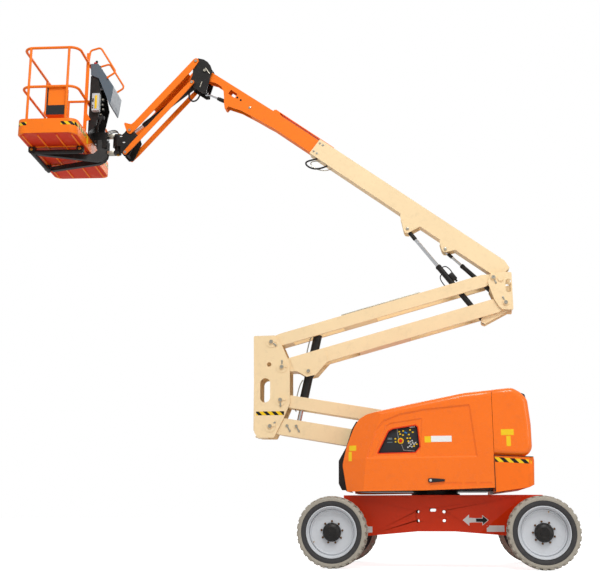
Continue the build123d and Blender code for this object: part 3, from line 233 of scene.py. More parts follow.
# Printed films and vinyl labels: flat, thin and faintly glossy.
panel_black = coating("panel_film", "#2A2B2E", 0.45, 0.05)
white_print = coating("printed_film", "#C9C9C4", 0.45, 0.02)
white_vinyl = coating("white_vinyl", "#EDEDEA", 0.42, 0.03, grime_share=0.05)
black_vinyl = coating("black_vinyl", "#151515", 0.42, 0.03, grime_share=0.05)
yellow_vinyl = coating("yellow_vinyl", "#F2C71B", 0.42, 0.03, grime_share=0.05)
hazard_side = striped("hazard_vinyl_side", "#F3C71A", "#161514", 0.092, "X")
hazard_end = striped("hazard_vinyl_end", "#F3C71A", "#161514", 0.092, "Y")
# Controls: console enamel, moulded plastics, and the displays' smooth glass.
console_enamel = coating("console_enamel", "#5B6670", 0.40, 0.10)
pale_plastic = coating("pale_moulded_plastic", "#C6CBCC", 0.45, 0.15)
dark_plastic = coating("black_moulded_plastic", "#232426", 0.50, 0.25)
red_plastic = coating("red_moulded_plastic", "#D0241A", 0.30, 0.05)
yellow_plastic = coating("yellow_moulded_plastic", "#EFC31A", 0.32, 0.05)
blue_cap = coating("blue_moulded_cap", "#2F78B8", 0.35, 0.05)
grey_screen = coating("display_glass", "#5E6B6E", 0.20, 0.02)

for node in underside_shade_and_wear.node_tree.nodes:
    if node.type == "TEX_NOISE" and node.inputs["Scale"].default_value == DUST_SCALE:
        node.inputs["Scale"].default_value = WORN_SCALE

SLOT_FINISH = {
    "orange": orange_powder,
    "red_orange": red_enamel,
    "beige": cream_powder,
    "black": black_powder,
    "tyre": dark_rubber,
    "rim": wheel_enamel,
    "hood": orange_gelcoat,
    "weight": cast_orange,
    "chrome": chromed_bar,
    "battery": dark_plastic,
    "panel": panel_black,
    "console": console_enamel,
    "box": pale_plastic,
    "storage": orange_powder,
}
# Widths of the small rounded edges that catch the light, by slot.
SLOT_EDGE = {"hood": 0.006, "orange": 0.003, "beige": 0.003, "red_orange": 0.003, "weight": 0.003}

for part in frame["record"]["subparts"]:
    node = frame["nodes"][part["node"]]
    finish = SLOT_FINISH[part["material_slot"]]
    if not node.material_slots:
        node.data.materials.append(finish)
    for place in node.material_slots:
        place.material = finish

# ---- Making pieces ----

SMOOTH_UP_TO = 35  # degrees between faces
SAME_SPOT = 1e-6
HERE = Matrix.Identity(4)
MIRROR = Matrix.Scale(-1, 4, (0, 1, 0))
BOTH_SIDES = (HERE, MIRROR)
SIDES = (("left", HERE), ("right", MIRROR))


def outward(shape):
    bmesh.ops.recalc_face_normals(shape, faces=shape.faces[:])
    return shape


def welded(shape):
    bmesh.ops.remove_doubles(shape, verts=shape.verts[:], dist=SAME_SPOT)
    return shape


def riding(name, mesh, body):
    piece = bpy.data.objects.new(name, mesh)
    bpy.context.scene.collection.objects.link(piece)
    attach(piece, body)
    return piece


def finish_piece(name, shape, body, *materials):
    """Turns a bmesh into a piece that rides on a body, smooth apart from its sharper edges."""
    for face in outward(shape).faces:
        face.smooth = True
    for edge in shape.edges:
        edge.smooth = len(edge.link_faces) == 2 and edge.calc_face_angle(0) < math.radians(SMOOTH_UP_TO)
    mesh = bpy.data.meshes.new(name)
    shape.to_mesh(mesh)
    shape.free()
    for material in materials:
        mesh.materials.append(material)
    return riding(name, mesh, body)


def fit(name, shape, body, slot, *materials):
    finish_piece(name, shape, body, *materials)


def turned(shape, profile, place, steps=96, material=0):
    """A profile turned round the place's z axis."""
    rings = []
    for radius, height in profile:
        angles = [2 * math.pi * i / steps for i in range(steps)] if radius > SAME_SPOT else [0]
        spots = [Vector((radius * math.cos(a), radius * math.sin(a), height)) for a in angles]
        rings.append([shape.verts.new(place @ spot) for spot in spots])
    for low, high in zip(rings, rings[1:]):
        if len(low) == len(high) == 1:
            continue
        for i in range(steps):
            j = (i + 1) % steps
            if len(low) == 1:
                corners = [low[0], high[i], high[j]]
            elif len(high) == 1:
                corners = [low[i], high[0], low[j]]
            else:
                corners = [low[i], high[i], high[j], low[j]]
            shape.faces.new(corners).material_index = material


def patch(x0, x1, z0, z1):
    return [(x0, z0), (x1, z0), (x1, z1), (x0, z1)]


def slab(shape, outline, y0, y1, place=HERE, material=0, edge=0.0):
    """An outline given thickness from y0 to y1, with its edges rounded by edge."""
    near = [shape.verts.new(place @ Vector((x, y0, z))) for x, z in outline]
    far = [shape.verts.new(place @ Vector((x, y1, z))) for x, z in outline]
    faces = [shape.faces.new(near), shape.faces.new(far[::-1])]
    for i in range(len(outline)):
        j = (i + 1) % len(outline)
        faces.append(shape.faces.new([near[j], near[i], far[i], far[j]]))
    for face in faces:
        face.material_index = material
    bmesh.ops.recalc_face_normals(shape, faces=faces)
    if edge:
        edges = list(dict.fromkeys(e for f in faces for e in f.edges))
        rounding = {"offset": edge, "segments": 2, "profile": 0.5, "affect": "EDGES", "material": -1}
        bmesh.ops.bevel(shape, geom=edges, **rounding)


def brick(shape, low, high, place=HERE, material=0, edge=0.0):
    slab(shape, patch(low[0], high[0], low[2], high[2]), low[1], high[1], place, material, edge)


def rod(shape, start, end, radius, steps=20, material=0, chamfer=0.0):
    """A round bar between two points, with flat ends and a small chamfer."""
    start, end = Vector(start), Vector(end)
    length = (end - start).length
    place = Matrix.Translation(start) @ (end - start).to_track_quat("Z", "Y").to_matrix().to_4x4()
    c = chamfer
    profile = [(0, 0), (radius - c, 0), (radius, c), (radius, length - c), (radius - c, length), (0, length)]
    if not c:
        profile = [(0, 0), (radius, 0), (radius, length), (0, length)]
    turned(shape, profile, place, steps, material)


def template(name, shape, material):
    """A loose mesh object that a node tree repeats. It is removed after its use."""
    mesh = bpy.data.meshes.new(name)
    outward(shape).to_mesh(mesh)
    shape.free()
    mesh.materials.append(material)
    made = bpy.data.objects.new(name, mesh)
    bpy.context.scene.collection.objects.link(made)
    return made


def spread(tree_name, source, sizes, build):
    """Runs a small geometry node tree on a template and gives back a plain mesh."""
    tree = bpy.data.node_groups.new(tree_name, "GeometryNodeTree")
    tree.interface.new_socket("Geometry", in_out="INPUT", socket_type="NodeSocketGeometry")
    for name, value in sizes.items():
        kind = "NodeSocketInt" if isinstance(value, int) else "NodeSocketFloat"
        tree.interface.new_socket(name, in_out="INPUT", socket_type=kind)
    tree.interface.new_socket("Geometry", in_out="OUTPUT", socket_type="NodeSocketGeometry")
    given = tree.nodes.new("NodeGroupInput")
    real = add(tree, "GeometryNodeRealizeInstances", {"Geometry": build(tree, given)})
    painted = {"Geometry": real.outputs[0], "Material": source.data.materials[0]}
    dressed = add(tree, "GeometryNodeSetMaterial", painted)
    out = tree.nodes.new("NodeGroupOutput")
    tree.links.new(dressed.outputs[0], out.inputs[0])
    run = source.modifiers.new(tree_name, "NODES")
    run.node_group = tree
    for item in tree.interface.items_tree:
        if item.in_out == "INPUT" and item.name in sizes:
            run[item.identifier] = sizes[item.name]
    mesh = bpy.data.meshes.new_from_object(source.evaluated_get(bpy.context.evaluated_depsgraph_get()))
    source.modifiers.clear()
    return mesh


def ring_tree(tree, given):
    """Copies round the z axis: Count of them at Radius, each turned to face outwards."""
    count, radius = given.outputs["Count"], given.outputs["Radius"]
    points = add(tree, "GeometryNodeMeshCircle", {"Vertices": count, "Radius": radius})
    number = add(tree, "GeometryNodeInputIndex")
    turn = add(tree, "ShaderNodeMath", {0: number.outputs[0], 1: count}, operation="DIVIDE")
    angle = add(tree, "ShaderNodeMath", {0: turn.outputs[0], 1: 2 * math.pi}, operation="MULTIPLY")
    way = add(tree, "ShaderNodeCombineXYZ", {"Z": angle.outputs[0]})
    copies = {"Points": points.outputs[0], "Instance": given.outputs["Geometry"], "Rotation": way.outputs[0]}
    return add(tree, "GeometryNodeInstanceOnPoints", copies).outputs[0]


def ring_of(name, shape, material, count, radius, place, body):
    source = template(name + "_source", shape, material)
    mesh = spread(name + "_ring", source, {"Count": count, "Radius": radius}, ring_tree)
    mesh.transform(place)
    mesh.name = name
    bpy.data.objects.remove(source)
    return riding(name, mesh, body)


def hose(name, body, points, radius, material):
    """A short hose held at both ends, on one smooth line through its guides."""
    line = bpy.data.curves.new(name + "_line", "CURVE")
    line.dimensions = "3D"
    line.bevel_depth = radius
    line.bevel_resolution = 3
    line.resolution_u = 10
    line.use_fill_caps = True
    run = line.splines.new("NURBS")
    run.points.add(len(points) - 1)
    for knot, spot in zip(run.points, points):
        knot.co = (*spot, 1.0)
    run.order_u = 4
    run.use_endpoint_u = True
    loose = bpy.data.objects.new(name + "_line", line)
    bpy.context.scene.collection.objects.link(loose)
    mesh = bpy.data.meshes.new_from_object(loose)
    bpy.data.objects.remove(loose)
    shape = bmesh.new()
    shape.from_mesh(mesh)
    bpy.data.meshes.remove(mesh)
    fit(name, shape, body, "black", material)


# ---- Wheels ----

AXLE_X = 1.025
WHEEL_Y = 0.755
TREAD = 0.350  # the radius over the lugs, and the axles' height
GROOVE = 0.338  # the radius between the lugs
SIDEWALL = 0.3005  # the radius where the dark sidewall ends
LUGS = 30
NUTS = 9
NUT_CIRCLE = 0.105
VALVE_CIRCLE = 0.208

CARCASS = [
    (0.2465, -0.098), (0.262, -0.110), (0.292, -0.114), (0.300, -0.112),
    (0.303, -0.118), (0.322, -0.1195), (0.334, -0.112), (0.338, -0.100),
]
CARCASS += [(radius, -height) for radius, height in reversed(CARCASS)] + CARCASS[:1]
RIM_RING = [
    (0.244, -0.098), (0.2495, -0.104), (0.2495, -0.112), (0.243, -0.113), (0.236, -0.104),
    (0.230, -0.080), (0.226, 0.030), (0.226, 0.050), (0.222, 0.072), (0.226, 0.082),
    (0.232, 0.088), (0.236, 0.100), (0.238, 0.108), (0.243, 0.1145), (0.2495, 0.113),
    (0.2515, 0.106), (0.246, 0.098), (0.244, 0.060), (0.244, -0.098),
]
RIM_DISC = [
    (0.2255, 0.030), (0.2235, 0.052), (0.219, 0.0625), (0.213, 0.0655), (0.208, 0.0645),
    (0.206, 0.058), (0.2005, 0.050), (0.196, 0.0485), (0.150, 0.0475), (0.090, 0.0465),
    (0.0, 0.0465), (0.0, 0.030), (0.2255, 0.030),
]
HUB = [
    (0.0, 0.046), (0.092, 0.046), (0.092, 0.056), (0.088, 0.060), (0.088, 0.074),
    (0.084, 0.082), (0.076, 0.092), (0.060, 0.101), (0.046, 0.105), (0.044, 0.1035),
    (0.040, 0.1035), (0.038, 0.106), (0.020, 0.1085), (0.0, 0.109),
]
NUT = [
    (0.0, 0.0465), (0.0115, 0.0465), (0.0115, 0.0485), (0.0092, 0.0490), (0.0092, 0.0570),
    (0.0075, 0.0590), (0.0050, 0.0592), (0.0050, 0.0650), (0.0, 0.0655),
]
# A lug's foot: (distance from the tyre's middle, place round the tread).
LUG = [
    (0.004, -0.018), (0.004, 0.012), (0.060, 0.036), (0.108, 0.040),
    (0.117, 0.036), (0.117, 0.002), (0.108, 0.000), (0.066, -0.004),
]
LUG_ROOT = -0.018  # below the groove
HALF_STEP = 0.03  # between the lugs of the two halves


def tread_lug(half):
    """One lug of a half of the tread, its top on the tread's own circle."""
    lug, shift = bmesh.new(), 0 if half > 0 else HALF_STEP
    low = [lug.verts.new((LUG_ROOT, y + shift, half * h)) for h, y in LUG]
    high = []
    for h, y in LUG:
        across = (y + shift) * 0.98
        crown = TREAD - (0.010 if h > 0.11 else 0.0)
        top = math.sqrt(crown * crown - across * across) - GROOVE
        high.append(lug.verts.new((top, across, half * h)))
    lug.faces.new(low)
    lug.faces.new(high[::-1])
    for i in range(len(LUG)):
        j = (i + 1) % len(LUG)
        lug.faces.new([low[j], low[i], high[i], high[j]])
    top_edges = [e for e in outward(lug).edges if all(v.co.x > 0 for v in e.verts)]
    bmesh.ops.bevel(lug, geom=top_edges, offset=0.003, segments=2, profile=0.5, affect="EDGES")
    return lug


def round_axle(radius, degrees, height):
    a = math.radians(degrees)
    return Vector((radius * math.cos(a), radius * math.sin(a), height))


def wheel(name, x, side):
    """A foam-filled tyre with a pale lugged tread on a stepped steel rim. Heights run out along the axle."""
    body = "wheel_" + name
    drives = x < 0
    centre = Matrix.Translation((x, side * WHEEL_Y, TREAD))
    centre @= Matrix.Rotation(math.radians(-90 * side), 4, "X")
    tyre = bmesh.new()
    turned(tyre, CARCASS, centre, 128)
    away = centre.inverted()
    for face in outward(welded(tyre)).faces:
        spot = away @ face.calc_center_median()
        face.material_index = 0 if math.hypot(spot.x, spot.y) > SIDEWALL else 1
    piece = finish_piece("tyre_carcass_" + name, tyre, body, pale_rubber, dark_rubber)
    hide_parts("tyre_" + name)
    for half in (-1, 1):
        face = "outer" if half * side > 0 else "inner"
        title = f"tread_lugs_{face}_{name}"
        ring = ring_of(title, tread_lug(half), pale_rubber, LUGS, GROOVE, centre, body)
    rim = bmesh.new()
    turned(rim, RIM_RING, centre, 112)
    turned(rim, RIM_DISC, centre, 112)
    piece = finish_piece("wheel_rim_" + name, welded(rim), body, wheel_enamel)
    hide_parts("rim_" + name)
    hub = bmesh.new()
    turned(hub, HUB, centre, 72)
    for degrees in (90, 210, 330):
        foot, tip = round_axle(0.028, degrees, 0.104), round_axle(0.028, degrees, 0.113)
        rod(hub, centre @ foot, centre @ tip, 0.0065, 6)
    fit("hub_" + name, welded(hub), body, "black", black_powder)
    nut = bmesh.new()
    turned(nut, NUT, HERE, 6)
    first_nut = centre @ Matrix.Rotation(math.radians(9 if drives else 20), 4, "Z")
    ring = ring_of("wheel_nuts_" + name, welded(nut), rusted_nut, NUTS, NUT_CIRCLE, first_nut, body)
    valve = bmesh.new()
    degrees = 208 if drives else 75
    foot, tip = round_axle(VALVE_CIRCLE, degrees, 0.058), round_axle(VALVE_CIRCLE - 0.012, degrees, 0.088)
    rod(valve, centre @ foot, centre @ tip, 0.0048, 12, chamfer=0.001)
    fit("valve_" + name, valve, body, "rim", brass_valve)


for axle, wheel_x in (("drive", -AXLE_X), ("steer", AXLE_X)):
    wheel(axle + "_left", wheel_x, -1)
    wheel(axle + "_right", wheel_x, 1)

# ---- Laying things on the solids' own surfaces ----

REACH = 3  # how far off a straight push starts
LABEL = 0.0012  # how far a label stands off its surface
SUNK = 0.0004  # how far its underside goes in


def skin_of(*nodes):
    """The surfaces of some solids, to press labels and pin heads onto."""
    shape = bmesh.new()
    for node in nodes:
        shape.from_mesh(frame["nodes"][node].data)
    found = BVHTree.FromBMesh(shape)
    shape.free()
    return found


def inwards(place):
    return (place.to_3x3() @ Vector((0, 1, 0))).normalized()


def outside(place):
    """The sign of y outwards: -1 on the near side, and 1 on a mirrored place."""
    return -1 if place.determinant() > 0 else 1


def met(skin, x, z, place=HERE):
    """Where a straight push along the place's y axis meets a skin."""
    return skin.ray_cast(place @ Vector((x, -REACH, z)), inwards(place))[0]


def flat_sheet(outline, grid):
    """An outline filled and cut into cells of about grid, so that it can follow a curve."""
    sheet = bmesh.new()
    sheet.faces.new([sheet.verts.new((x, 0, z)) for x, z in outline])
    bmesh.ops.triangulate(sheet, faces=sheet.faces[:])
    for axis in (0, 2):
        low = min(v.co[axis] for v in sheet.verts)
        high = max(v.co[axis] for v in sheet.verts)
        count = max(1, round((high - low) / grid))
        for step in range(1, count):
            origin, normal = Vector(), Vector()
            origin[axis] = low + (high - low) * step / count
            normal[axis] = 1
            whole = sheet.verts[:] + sheet.edges[:] + sheet.faces[:]
            bmesh.ops.bisect_plane(sheet, geom=whole, plane_co=origin, plane_no=normal)
    return sheet


def pressed_on(shape, outline, skin, place=HERE, height=LABEL, material=0, grid=0.03):
    """A thin label cut to an outline and pressed onto a skin, following its curves and folds."""
    sheet, way = flat_sheet(outline, grid), inwards(place)
    tops, roots = {}, {}
    for vert in sheet.verts:
        spot = met(skin, vert.co.x, vert.co.z, place)
        if spot is not None:
            tops[vert] = shape.verts.new(spot - way * height)
            roots[vert] = shape.verts.new(spot + way * SUNK)
    kept = [face for face in sheet.faces if all(v in tops for v in face.verts)]
    made = []
    for face in kept:
        made.append(shape.faces.new([tops[v] for v in face.verts]))
        made.append(shape.faces.new([roots[v] for v in reversed(face.verts)]))
        for edge in face.edges:
            if sum(other in kept for other in edge.link_faces) == 1:
                a, b = edge.verts
                made.append(shape.faces.new([tops[a], tops[b], roots[b], roots[a]]))
    for face in made:
        face.material_index = material
    bmesh.ops.recalc_face_normals(shape, faces=made)
    sheet.free()


def facing(spot, place=HERE):
    """A frame at a spot whose z axis points out of the near side, or of the far side where mirrored."""
    return Matrix.Translation(spot) @ Matrix.Rotation(math.radians(-90 * outside(place)), 4, "X")


def round_head(shape, spot, place, radius, height):
    """A chamfered round pin end with a drilled centre."""
    profile = [(0, -0.002), (radius, -0.002), (radius, height * 0.75), (radius * 0.9, height)]
    profile += [(radius * 0.34, height), (radius * 0.28, height * 0.7), (0, height * 0.7)]
    turned(shape, profile, facing(spot, place), 28)


def hex_head(shape, spot, place, radius, height):
    profile = [(0, -0.001), (radius * 1.5, -0.001), (radius * 1.5, 0.0012), (radius, 0.0014)]
    profile += [(radius, height * 0.85), (radius * 0.85, height), (0, height)]
    turned(shape, profile, facing(spot, place), 6)


def face_round(skin, x, z, place, reach):
    """The outermost face at a pin or just round it, because a plate may be bored through for its pin."""
    around = ((0, 0), (1, 0), (-1, 0), (0, 1), (0, -1))
    tries = [met(skin, x + dx * reach, z + dz * reach, place) for dx, dz in around]
    found = [spot.y for spot in tries if spot is not None]
    if not found:
        return None
    return Vector((x, min(found) if place.determinant() > 0 else max(found), z))


KEEPER_SCREW = 0.062  # from the pin's middle
KEEPER_THICK = 0.006


def keeper(shape, skin, head, degrees, place):
    """A flat bar that stops a pin from turning, and its screw."""
    turn = Vector((math.cos(math.radians(degrees)), 0, math.sin(math.radians(degrees))))
    end = met(skin, head.x + turn.x * KEEPER_SCREW, head.z + turn.z * KEEPER_SCREW, place)
    if end is None:
        return
    out = outside(place)
    bar = Matrix.Translation((head.x, min(head.y * out, end.y * out) * out, head.z))
    bar @= Matrix.Rotation(-math.radians(degrees), 4, "Y")
    back, front = sorted((-0.001 * out, KEEPER_THICK * out))
    brick(shape, (0.008, back, -0.0075), (0.076, front, 0.0075), bar, edge=0.0012)
    screw = Vector((end.x, bar.translation.y + KEEPER_THICK * out, end.z))
    hex_head(shape, screw, place, 0.0075, 0.006)


def pin_ends(name, body, nodes, points, radius=0.021, height=0.011):
    """Round pin heads on both sides. A point is (x, z, its keeper's angle or None)."""
    shape, skin = bmesh.new(), skin_of(*nodes)
    for x, z, degrees in points:
        for place in BOTH_SIDES:
            head = face_round(skin, x, z, place, radius * 1.5)
            if head is None:
                continue
            round_head(shape, head, place, radius, height)
            if degrees is not None:
                keeper(shape, skin, head, degrees, place)
    fit(name, shape, body, "chrome", zinc_plate)


# ---- Hood, window and ground controls ----

WINDOW = [
    (-0.573, 1.110), (-0.454, 1.343), (-0.407, 1.369), (-0.171, 1.404),
    (-0.146, 1.380), (-0.128, 1.176), (-0.179, 1.117),
]
PANEL = [
    (-0.572, 1.108), (-0.462, 1.330), (-0.404, 1.358), (-0.172, 1.393),
    (-0.157, 1.378), (-0.140, 1.176), (-0.186, 1.125),
]
PANEL_FACE = -0.7515
KEY_FOOT = -0.751  # just inside the panel's face
KEY_FACE = -0.756
DISPLAYS = ((-0.436, 1.263, 0.046, 0.022), (-0.437, 1.228, 0.056, 0.010))
LINES = (
    ((-0.362, 1.362), (-0.349, 1.262)),
    ((-0.318, 1.205), (-0.300, 1.148)),
    ((-0.300, 1.148), (-0.190, 1.140)),
)
PALE_KEYS = ((-0.229, 1.375), (-0.215, 1.377), (-0.201, 1.379), (-0.187, 1.381))
YELLOW_KEYS = (
    (-0.340, 1.334), (-0.330, 1.309), (-0.303, 1.299), (-0.231, 1.350), (-0.204, 1.327),
    (-0.243, 1.304), (-0.260, 1.268), (-0.232, 1.268), (-0.380, 1.263), (-0.378, 1.233),
    (-0.251, 1.238), (-0.168, 1.207), (-0.196, 1.188), (-0.300, 1.340),
)
BLUE_KEYS = ((-0.281, 1.326), (-0.268, 1.320))
SOCKETS = (
    (-0.246, 1.221), (-0.226, 1.207), (-0.231, 1.234), (-0.206, 1.221), (-0.212, 1.243),
    (-0.193, 1.207), (-0.179, 1.222), (-0.236, 1.190), (-0.216, 1.182), (-0.256, 1.178),
)
SOCKET = [(0, 0), (0.008, 0), (0.008, 0.003), (0.0056, 0.0042), (0.0048, 0.002), (0, 0.002)]
STOP_RING = [(0, 0), (0.030, 0), (0.030, 0.003), (0.028, 0.005), (0, 0.005)]
STOP_BUTTON = [
    (0, 0.004), (0.009, 0.004), (0.009, 0.012), (0.017, 0.013),
    (0.0185, 0.018), (0.015, 0.0225), (0, 0.0235),
]
LATCH = [
    (-0.062, 0.830), (-0.062, 0.866), (-0.036, 0.870),
    (0.099, 0.860), (0.099, 0.838), (-0.036, 0.826),
]
LATCH_KNOB = [(0, 0), (0.013, 0), (0.013, 0.006), (0.010, 0.009), (0, 0.010)]


def inset(outline, width):
    """The outline drawn in by a width, corner by corner. It runs clockwise as seen from the near side."""
    moved = []
    for i, here in enumerate(outline):
        before, after = outline[i - 1], outline[(i + 1) % len(outline)]
        first = (Vector(here) - Vector(before)).normalized()
        second = (Vector(after) - Vector(here)).normalized()
        n1, n2 = Vector((first.y, -first.x)), Vector((second.y, -second.x))
        corner = (n1 + n2) / (1 + n1.dot(n2))
        moved.append((here[0] + corner.x * width, here[1] + corner.y * width))
    return moved


def band(shape, outer, inner, y0, y1):
    """A flat ring between two outlines of as many corners."""
    loops = [[shape.verts.new((x, y, z)) for x, z in line] for line in (outer, inner) for y in (y0, y1)]
    for i in range(len(outer)):
        j = (i + 1) % len(outer)
        for a, b in ((0, 2), (2, 3), (3, 1), (1, 0)):
            shape.faces.new([loops[a][i], loops[a][j], loops[b][j], loops[b][i]])


def key_caps(shape, spots, wide, high, face, material, edge=0.0):
    for x, z in spots:
        low, top = (x - wide / 2, face, z - high / 2), (x + wide / 2, KEY_FOOT, z + high / 2)
        brick(shape, low, top, material=material, edge=edge)


# The window's return band, in a darker red gelcoat that is painted shade inside the window's edge.
window_return = bmesh.new()
band(window_return, inset(WINDOW, -0.003), inset(WINDOW, 0.011), -0.7792, -0.752)
fit("window_return", window_return, "hood_left_body", "hood", window_shade_gelcoat)

FILM, GLASS, PALE, YELLOW, BLUE, RED = range(6)
controls = bmesh.new()
slab(controls, PANEL, PANEL_FACE, -0.741, material=FILM, edge=0.002)
for x, z, wide, high in DISPLAYS:
    key_caps(controls, [(x, z)], wide, high, -0.7545, GLASS, 0.0012)
for start, end in LINES:
    rod(controls, (start[0], PANEL_FACE, start[1]), (end[0], PANEL_FACE, end[1]), 0.0016, 6, PALE)
key_caps(controls, PALE_KEYS, 0.010, 0.012, -0.7532, PALE)
key_caps(controls, YELLOW_KEYS, 0.017, 0.013, KEY_FACE, YELLOW, 0.0015)
key_caps(controls, BLUE_KEYS, 0.014, 0.014, KEY_FACE, BLUE, 0.0015)
for x, z in SOCKETS:
    turned(controls, SOCKET, facing((x, KEY_FOOT, z)), 14, PALE)
stop_spot = facing((-0.327, KEY_FOOT, 1.241))
turned(controls, STOP_RING, stop_spot, 32, YELLOW)
turned(controls, STOP_BUTTON, stop_spot, 32, RED)
CONTROL_FINISHES = (panel_black, grey_screen, white_print, yellow_plastic, blue_cap, red_plastic)
fit("ground_control_face", controls, "turret", "panel", *CONTROL_FINISHES)

latch = bmesh.new()
slab(latch, LATCH, -0.814, -0.7985, edge=0.003)
turned(latch, LATCH_KNOB, facing((-0.040, -0.813, 0.848)), 24, 1)
fit("hood_latch_left", latch, "hood_left_body", "hood", dark_plastic, white_print)

YELLOW_HOOD_LABELS = (
    patch(-0.088, -0.024, 1.221, 1.282),
    patch(-0.854, -0.778, 1.149, 1.203),
    patch(-0.860, -0.826, 1.046, 1.140),
)
COVER_LABELS = (patch(0.664, 0.788, 1.284, 1.342), patch(0.713, 0.755, 1.176, 1.276))
for side, place in SIDES:
    skin = skin_of("hood_" + side, "rear_cover_" + side)
    signs = bmesh.new()
    pressed_on(signs, patch(-0.022, 0.180, 1.226, 1.285), skin, place, material=1)
    for outline in YELLOW_HOOD_LABELS:
        pressed_on(signs, outline, skin, place)
    fit("hood_labels_" + side, signs, f"hood_{side}_body", "hood", yellow_vinyl, white_vinyl)
    marks = bmesh.new()
    for outline in COVER_LABELS:
        pressed_on(marks, outline, skin, place)
    fit("cover_labels_" + side, marks, "turret", "hood", yellow_vinyl)

BALLAST_TAPE = [(0.596, 1.026), (0.972, 1.002), (0.972, 1.040), (0.594, 1.072)]
COVER_SEAM = [(0.590, 1.0865), (0.590, 1.0935), (0.964, 1.0735), (0.964, 1.0685)]
COVER_SEAM_DEPTH = {"left": (-0.8012, -0.782), "right": (0.792, 0.7992)}
BUFFER = [(0.845, 1.640), (0.862, 1.715), (0.903, 1.738), (0.938, 1.722), (0.952, 1.664), (0.930, 1.634)]
ballast = skin_of("counterweight")
for side, place in SIDES:
    out = outside(place)
    tape = bmesh.new()
    pressed_on(tape, BALLAST_TAPE, ballast, place)
    fit("counterweight_tape_" + side, tape, "turret", "weight", hazard_side)
    seam = bmesh.new()
    y0, y1 = sorted((0.8012 * out, 0.780 * out))
    brick(seam, (0.5835, y0, 0.735), (0.5905, y1, 1.092))
    slab(seam, COVER_SEAM, *COVER_SEAM_DEPTH[side])
    fit("seam_gasket_" + side, seam, "turret", "black", black_gasket)
    trim = bmesh.new()
    slab(trim, BUFFER, *sorted((0.50 * out, 0.24 * out)), edge=0.008)
    fit("tail_buffer_" + side, trim, "turret", "black", black_gasket)

# ---- Chassis ----

PALE_ARROWS = (
    [
        (0.266, 0.464), (0.332, 0.520), (0.332, 0.487), (0.398, 0.484),
        (0.398, 0.442), (0.332, 0.439), (0.332, 0.408),
    ],
    [
        (0.527, 0.464), (0.462, 0.516), (0.462, 0.486), (0.396, 0.484),
        (0.396, 0.442), (0.462, 0.441), (0.462, 0.411),
    ],
)
BLACK_ARROW = [
    (0.518, 0.464), (0.468, 0.504), (0.468, 0.480), (0.400, 0.478),
    (0.400, 0.448), (0.468, 0.447), (0.468, 0.423),
]
CHASSIS_LABELS = (patch(0.503, 0.683, 0.349, 0.412), patch(-0.711, -0.653, 0.339, 0.400))
frame_skin = skin_of("chassis_frame")
for side, place in SIDES:
    signs = bmesh.new()
    for outline in PALE_ARROWS:
        pressed_on(signs, outline, frame_skin, place, grid=0.05)
    pressed_on(signs, BLACK_ARROW, frame_skin, place, height=2 * LABEL, material=1, grid=0.05)
    for outline in CHASSIS_LABELS:
        pressed_on(signs, outline, frame_skin, place)
    fit("chassis_signs_" + side, signs, "chassis", "red_orange", white_vinyl, black_vinyl)

# ---- Tower and booms ----

tape, upright_skin = bmesh.new(), skin_of("mid_upright")
for place in BOTH_SIDES:
    pressed_on(tape, patch(-1.932, -1.620, 1.584, 1.626), upright_skin, place, grid=0.012)
fit("upright_tape", tape, "mid_upright_body", "beige", hazard_side)

MID_UPRIGHT = ((-1.7747, 1.4651, 35), (-1.6607, 1.751, -88), (-1.7657, 2.402, -38), (-1.6457, 2.1171, 88))
HEAD_FRAME = ((0.704, 3.0569, -68), (0.8239, 2.7719, 115))
LOWER_BOOM = ((-1.588, 1.468, -62), (-1.486, 1.462, -62))
CYLINDER_EYES = ((-0.221, 3.672, None), (0.193, 3.416, None))
JIB_FOOT = ((-3.5295, 5.051, None), (-3.566, 4.763, None))
pin_ends("upright_pins", "mid_upright_body", ["mid_upright"], MID_UPRIGHT)
pin_ends("head_frame_pins", "upper_upright_body", ["upper_upright"], HEAD_FRAME)
pin_ends("lower_boom_pins", "lower_boom_body", ["lower_boom"], LOWER_BOOM, 0.016)
pin_ends("arm_lug_pin", "upper_arm_body", ["upper_arm"], [(-1.3507, 2.0671, None)], 0.019)
pin_ends("base_boom_pins", "base_boom_body", ["base_boom"], CYLINDER_EYES, 0.018, 0.004)
pin_ends("head_pin", "head", ["boom_head"], [(-2.6182, 5.7771, None)], 0.018)
pin_ends("jib_top_pin", "jib", ["jib_boom"], [(-2.7302, 5.9081, None)], 0.018)
pin_ends("jib_link_pin", "jib_links", ["jib_link_left", "jib_link_right"], [(-2.7672, 5.6201, None)], 0.018)
pin_ends("jib_foot_pins", "bracket", ["jib_bracket"], JIB_FOOT, 0.016)

# The main boom's own frame, on its pin: x runs back along it, and z stands square to it.
BOOM_SLOPE = 37.2  # degrees
BOOM = Matrix.Translation((0.77992, 0, 3.04092)) @ Matrix.Rotation(math.radians(BOOM_SLOPE), 4, "Y")


def all_in(place, *points):
    return [place @ Vector(point) for point in points]


clips = bmesh.new()
for x in (-2.30, -2.20, -2.10):
    for out in (-1, 1):
        y0, y1 = sorted((0.056 * out, 0.069 * out))
        brick(clips, (x - 0.012, y0, 0.003), (x + 0.012, y1, 0.025), BOOM, edge=0.002)
fit("fly_clips", clips, "fly_boom_body", "orange", black_powder)

screws = bmesh.new()
for place in BOTH_SIDES:
    y = 0.0752 * outside(place)
    for spot in all_in(BOOM, *((x, y, z) for z in (0.045, 0.165) for x in (-2.630, -2.585))):
        hex_head(screws, spot, place, 0.010, 0.008)
fit("wear_pad_screws", screws, "base_boom_body", "beige", zinc_plate)

